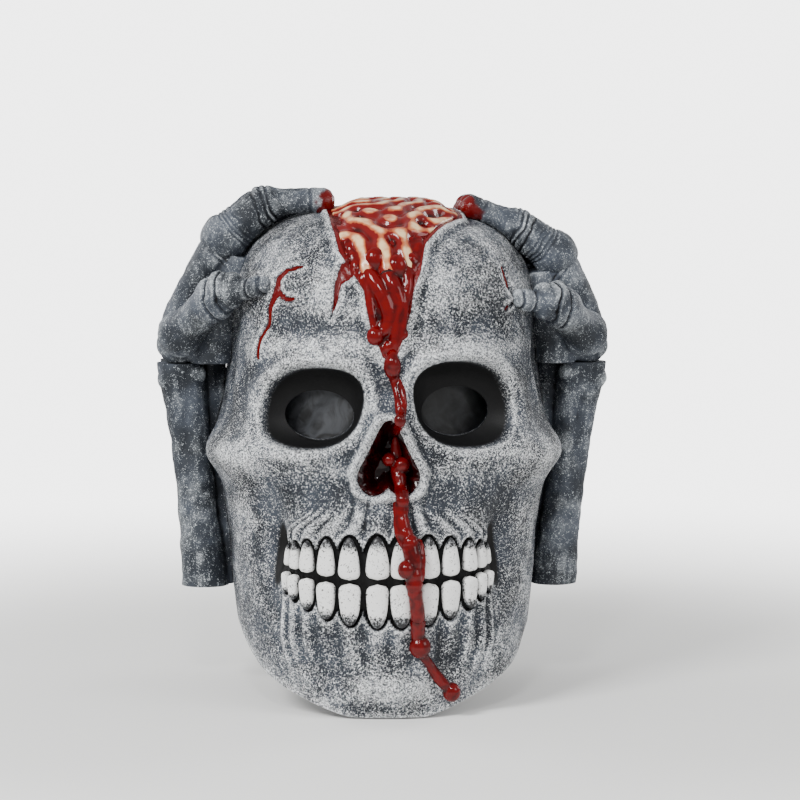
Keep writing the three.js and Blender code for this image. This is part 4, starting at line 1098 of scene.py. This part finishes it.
def dome_z(x, y):
    """Height of the plain dome over x and y: the dome's height times the cube root of 1 - share^3."""
    share = math.hypot(x, y) / float(reach(np.array(math.atan2(x, -y)), np.array(EQUATOR_Z)))
    return EQUATOR_Z + (CROWN_Z - EQUATOR_Z) * (1 - min(share, 1) ** 3) ** (1 / 3)


def bone(start, end, radii, bow=(0, 0, 0)):
    """A long bone: radii at its start, waist and end, each end swelling over about a fifth of its length
    and rounded off, with its middle bowed aside."""
    start, end = np.asarray(start, float), np.asarray(end, float)
    length = np.linalg.norm(end - start)
    s = np.linspace(-radii[0] * 0.96, length + radii[2] * 0.96, 46)
    t = np.clip(s / length, 0, 1)
    radius = radii[1] + (radii[0] - radii[1]) * np.exp(-((t / 0.24) ** 2))
    radius += (radii[2] - radii[1]) * np.exp(-(((1 - t) / 0.22) ** 2))
    over = np.where(s < 0, -s / radii[0], np.where(s > length, (s - length) / radii[2], 0))
    radius = radius * np.sqrt(np.clip(1 - over**2, 0, 1))
    path = start + (end - start) * (s / length)[:, None] + np.asarray(bow) * (4 * t * (1 - t))[:, None]
    return tube(path, radius, 20)


def finger_joints(side, i):
    """Knuckle, middle joint and tip of finger i of a hand, in even steps of y along the head: the knuckle
    beside the skull, the middle joint over the dome's shoulder, the tip on the dome."""
    y = -22 + 27 * i
    tip_y, tip_x, low = 0.92 * y - 6, (52 if side > 0 else 36), (9 if side > 0 else 0)
    shoulder = tip_x + (HALF_WIDTH - tip_x) * (0.74 if side > 0 else 0.62)
    middle_y = (y + tip_y) / 2
    knuckle = np.array([side_x(y, 2 - low) + 20, y, 2 - low])
    middle = np.array([shoulder, middle_y, dome_z(shoulder, middle_y) + (15 if side > 0 else 17)])
    tip = np.array([tip_x, tip_y, dome_z(tip_x, tip_y) + 6.0])
    return knuckle, middle, tip


def grooves(points, at, along, offsets, width, depth):
    """How far narrow grooves across a bone sink its skin: a bell curve at each offset from a joint along the
    bone, uneven by a noise, and fading 22 mm from the joint."""
    s = (points - at) @ (along / np.linalg.norm(along))
    near = np.exp(-(np.linalg.norm(points - at, axis=-1) / 22) ** 4)
    lines = sum(np.exp(-(((s - o + 1.2 * noise(points, 9, 77)) / width) ** 2)) for o in offsets)
    return depth * lines * near


def finish_bone(obj, node, sunk=0.0, wounds=(), dark=0.0):
    """Moves a bone's skin by its grooves and grain, then paints it: pale on knobs and ridges, black in
    hollows as painted shade, bloody near the wounds, given as (point, radius)."""
    outside_skull(obj)
    points = points_of(obj)
    fibres = noise(points * (1, 1, 0.45), 3.4, 91) * 0.28 + noise(points, 9, 92) * 0.5
    move_points(obj, points + normals_of(obj) * (fibres - sunk)[:, None])
    fine, wide = raised(obj, 4, 0.4), raised(obj, 30, 2.0)
    worn = 0.16 + 0.32 * np.clip(fine, -1, 1.3) + 0.62 * np.clip(wide, -0.8, 1.2) - dark
    worn += 0.24 * noise(points, 12, 93)
    # black in the hollows is painted shade
    painted_shade_and_black_paint = 0.9 * np.clip(-wide - 0.15, 0, 1) + 0.5 * np.clip(-fine - 0.2, 0, 1)
    blood = np.zeros(len(points))
    for at, radius in wounds:
        away = np.linalg.norm(points - at, axis=-1) + 4.5 * noise(points, 6, 94)
        blood = np.maximum(blood, 1 - smooth(away, radius * 0.3, radius * 1.35))
    add_attribute(obj, "worn", np.clip(worn, 0, 1))
    add_attribute(obj, "painted_shade_and_black_paint", np.clip(painted_shade_and_black_paint, 0, 1))
    add_attribute(obj, "blood", 0.85 * blood)
    obj.data.materials.append(hand_latex)
    shade(obj, 75)
    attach(obj, "mask")
    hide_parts(node)


def outside_skull(obj):
    """Moves what would be inside the skull out to just off its sculpted skin, so that a bone beds on it."""
    points = points_of(obj)
    theta, z = turn_and_height(points)
    face = skin(theta, z, np.maximum(sculpt(theta, z)[0], -2) + 0.3)
    middle = np.stack([0 * z, 0 * z, np.minimum(points[:, 2], EQUATOR_Z)], -1)
    short = np.linalg.norm(points - middle, axis=-1) < np.linalg.norm(face - middle, axis=-1)
    short &= points[:, 2] > HEM_Z - 30
    move_points(obj, np.where(short[:, None], face, points))


def slab(name, low, high):
    """A box between two corners."""
    (x0, y0, z0), (x1, y1, z1) = low, high
    points = [(x, y, z) for z in (z0, z1) for x, y in ((x0, y0), (x1, y0), (x1, y1), (x0, y1))]
    sides = [(0, 1, 5, 4), (1, 2, 6, 5), (2, 3, 7, 6), (3, 0, 4, 7)]
    return make_object(name, points, [(3, 2, 1, 0), (4, 5, 6, 7)] + sides)


for side, word in ((1, "left"), (-1, "right")):
    flip = np.array([side, 1, 1])

    def placed(parts):
        """Parts built for +X, mirrored for the right hand with their faces turned."""
        return [(p * flip, [f[::side] for f in faces]) for p, faces in parts]

    # forearm: two long bones side by side, with a thin web that reaches in to the skull
    arms = []
    for y, radii in ((-7, (14.5, 11.5, 14.5)), (23, (13.5, 10.5, 13.5))):
        low = (side_x(y, HEM_Z) + (16 if side < 0 else 12), y, HEM_Z - 16)
        arms.append(bone(low, (120.5, y, -68), radii, (-1, 0, 0)))
    for y in (6, 18):
        low = (side_x(y, HEM_Z) + 3, y, HEM_Z - 16)
        arms.append(bone(low, (106, y, -60), (12, 10.5, 12)))
    arms.append(ball((126, -12, -81), 8, (1, 0.9, 1)))
    arms.append(ball((113, -13, -78), 8.5, (1, 0.9, 0.9)))
    forearm = fused(f"{word}_forearm_bones", placed(arms), 0.95, 4)
    points = points_of(forearm) * flip
    dent = bell(points[:, 0], points[:, 2], 117, -112, 6.5, 24) * smooth(-points[:, 1], 6, 18)
    finish_bone(forearm, f"{word}_forearm", 4.5 * dent, dark=0.08)
    below, above = ((-200, -90, -300), (200, 90, HEM_Z)), ((-200, -90, WRIST_Z), (200, 90, 0))
    cut(forearm, slab("below", *below), slab("above", *above))
    forearm.data.materials.append(hand_latex)
    shade(forearm, 60)

    # hand: a row of wrist bones and four splayed bones up to the knuckles, with webs between
    joints = [finger_joints(side, i) for i in range(4)]
    hand = [bone((120.5, -11, -62), (120.5, 27, -62), (12.5, 11.5, 12.5)),
            ball((126, -16, -61), 8, (1, 1, 1.1)), ball((112, -18, -63), 8)]
    for i, (knuckle, middle, tip) in enumerate(joints):
        start = np.array([120.5, 8 + (i - 1.5) * 13, -50])
        top = knuckle + (start - knuckle) / np.linalg.norm(start - knuckle) * 11
        hand.append(bone(start, top, (11, 9.6, 11.6), (3, 0, 0)))
        if i:
            a, b = hand_last
            web = np.linspace((a + start) / 2 + (-2, 0, 0), (b + top) / 2 + (-3, 0, -4), 12)
            hand.append(tube(web, np.full(12, 7.0), 14))
        hand_last = (start, top)
    for i, (knuckle, middle, tip) in enumerate(joints):
        start, top = np.array([103, 8 + (i - 1.5) * 16, -80]), knuckle + (-9, 0, -10)
        hand.append(tube(np.linspace(start, top, 14), 13 - 3 * np.linspace(-1, 1, 14) ** 6, 18))
    hand_back = fused(f"{word}_hand_back_bones", placed(hand), 0.9, 5)
    points = points_of(hand_back)
    rings = sum(grooves(points, k * flip, (m - k) * flip, (-7.5, -10.5), 0.7, 0.9) for k, m, t in joints)
    finish_bone(hand_back, f"{word}_hand_back", rings, dark=0.12)
    cut(hand_back, slab("low", (-200, -90, -120), (200, 90, WRIST_Z + 0.4)))
    hand_back.data.materials.append(hand_latex)
    shade(hand_back, 60)

    # thumb: a cone-shaped root bone, a ball joint and a knobby end bone whose tip digs into the temple
    tip_x, tip_z = (75, -33) if side > 0 else (69, -25)
    root, knuckle = np.array([119, -24, -54]), np.array([99.0, -54, -35] if side > 0 else [95.0, -54, -29])
    tip = skin(turn_at(tip_x, tip_z), tip_z, 3.0).reshape(3)
    along = (tip - knuckle) / np.linalg.norm(tip - knuckle)
    neck = knuckle - 5 * (knuckle - root) / np.linalg.norm(knuckle - root)
    thumb = [bone(root, neck, (14, 10.5, 13)), ball(knuckle + (0, 0, 2), 11.5, (0.8, 1, 1)),
             bone(knuckle + 8 * along, tip, (9.4, 6.0, 5.4)),
             ball(knuckle + 9 * along + (0, 0, 5), 6.4), ball(knuckle + 8.5 * along - (0, 0, 4), 6.2),
             ball(tip - 3 * along, 6.2), ball(tip + 1.5 * along + (0, 0, 1.5), 4.2)]
    thumb = fused(f"{word}_thumb_bones", placed(thumb), 0.62, 3)
    points = points_of(thumb)
    ring = grooves(points, knuckle * flip, along * flip, (-4.2, 3.6), 1.1, 2.1)
    ring += grooves(points, tip * flip, along * flip, (-8, 0.5), 1.0, 1.2)
    finish_bone(thumb, f"{word}_thumb", ring, dark=-0.05)

    # fingers: two bones each, arched over the dome's shoulder, the tips pressed on the skin by the tear
    for i, (knuckle, middle, tip) in enumerate(joints):
        near, far = middle - knuckle, tip - middle
        near, far = near / np.linalg.norm(near), far / np.linalg.norm(far)
        across = np.array([0, 1, 0])
        bones = [bone(knuckle, middle, (14.2, 11.6, 11.4)),
                 bone(middle + 2.5 * far, tip, (9.8, 6.7, 7.4), (0, 0, 1)),
                 ball(tip - 1.5 * far + (0, 0, 1.2), 6.2, (1, 1, 0.9)),
                 ball(tip + 2.6 * far - (0, 0, 3.0), 4.8, (0.9, 1.1, 1))]
        for way in (1, -1):
            bones += [ball(middle + way * 4.2 * across + (0, 0, 0.8), 7.4),
                      ball(middle + 6.0 * far + way * 3.4 * across, 6.6),
                      ball(knuckle + way * 4 * across + 1.5 * near, 9.5)]
        name = ("index", "middle", "ring", "little")[i]
        finger = fused(f"{word}_{name}_finger_bones", placed(bones), 0.62 if i == 0 else 0.8, 3)
        points = points_of(finger)
        ring = grooves(points, middle * flip, (near + far) * flip, (-3.2, 1.6, 4.8), 0.8, 1.3)
        ring += grooves(points, knuckle * flip, near * flip, (6, 8.4, 11, 14), 0.6, 0.8)
        ring += grooves(points, tip * flip, far * flip, (-6.5,), 0.9, 0.7)
        finish_bone(finger, f"{word}_{name}_finger", ring, [((tip + 5 * far) * flip, 12.0 if i < 2 else 8.0)])

# ---- Floor and lights ---------------------------------------------------------------------------------
# A plain pale table and soft studio light: a large soft light from the upper left, a weaker one from the
# right, and two small ones that put sharp glints on the wet gore.
table = [(-6000, -1500, 0), (6000, -1500, 0), (6000, 8000, 0), (-6000, 8000, 0)]
floor = make_object("floor", table, [(0, 1, 2, 3)])
floor.location.z = CHIN_Z * MM - 0.001
pale, tree, surface = new_material("pale_table")
surface.inputs["Base Color"].default_value = linear("#f4f4f2")
surface.inputs["Roughness"].default_value = 0.9
away = add_node(tree, "VectorMath", (add_node(tree, "TexCoord", {}, 3),), 1, operation="LENGTH")
tree.links.new(add_node(tree, "MapRange", (away, 0.25, 0.95, 1, 0), **STEP), surface.inputs["Alpha"])
floor.data.materials.append(pale)


def add_light(name, place, at, width, power, colour="#ffffff"):
    """A square area light at a place, in metres, turned to face a point."""
    light = bpy.data.objects.new(name, bpy.data.lights.new(name, "AREA"))
    light.data.size, light.data.energy, light.data.color = width, power, linear(colour)[:3]
    light.location = place
    light.rotation_euler = (Vector(at) - Vector(place)).to_track_quat("-Z", "Y").to_euler()
    bpy.context.collection.objects.link(light)


add_light("soft_left", (-0.9, -1.1, 0.9), (0, 0, -0.08), 0.5, 30)
add_light("soft_right", (1.1, -0.9, 0.45), (0, 0, -0.1), 0.6, 5)
add_light("glint", (-0.15, -1.3, 0.75), (0, -0.08, -0.08), 0.16, 5)
add_light("edge_left", (-0.9, 0.5, 0.25), (0, 0, -0.1), 0.4, 5)
add_light("edge_right", (0.9, 0.5, 0.25), (0, 0, -0.1), 0.4, 5)
world = bpy.data.worlds.new("studio")
world.use_nodes = True
tree = world.node_tree
sky = tree.nodes["Background"]
sky.inputs["Color"].default_value = linear("#fbfbfb")
seen = add_node(tree, "LightPath", {})
tree.links.new(add_node(tree, "MapRange", (seen, 0, 1, 0.6, 4.5), **STEP), sky.inputs["Strength"])
bpy.context.scene.world = world
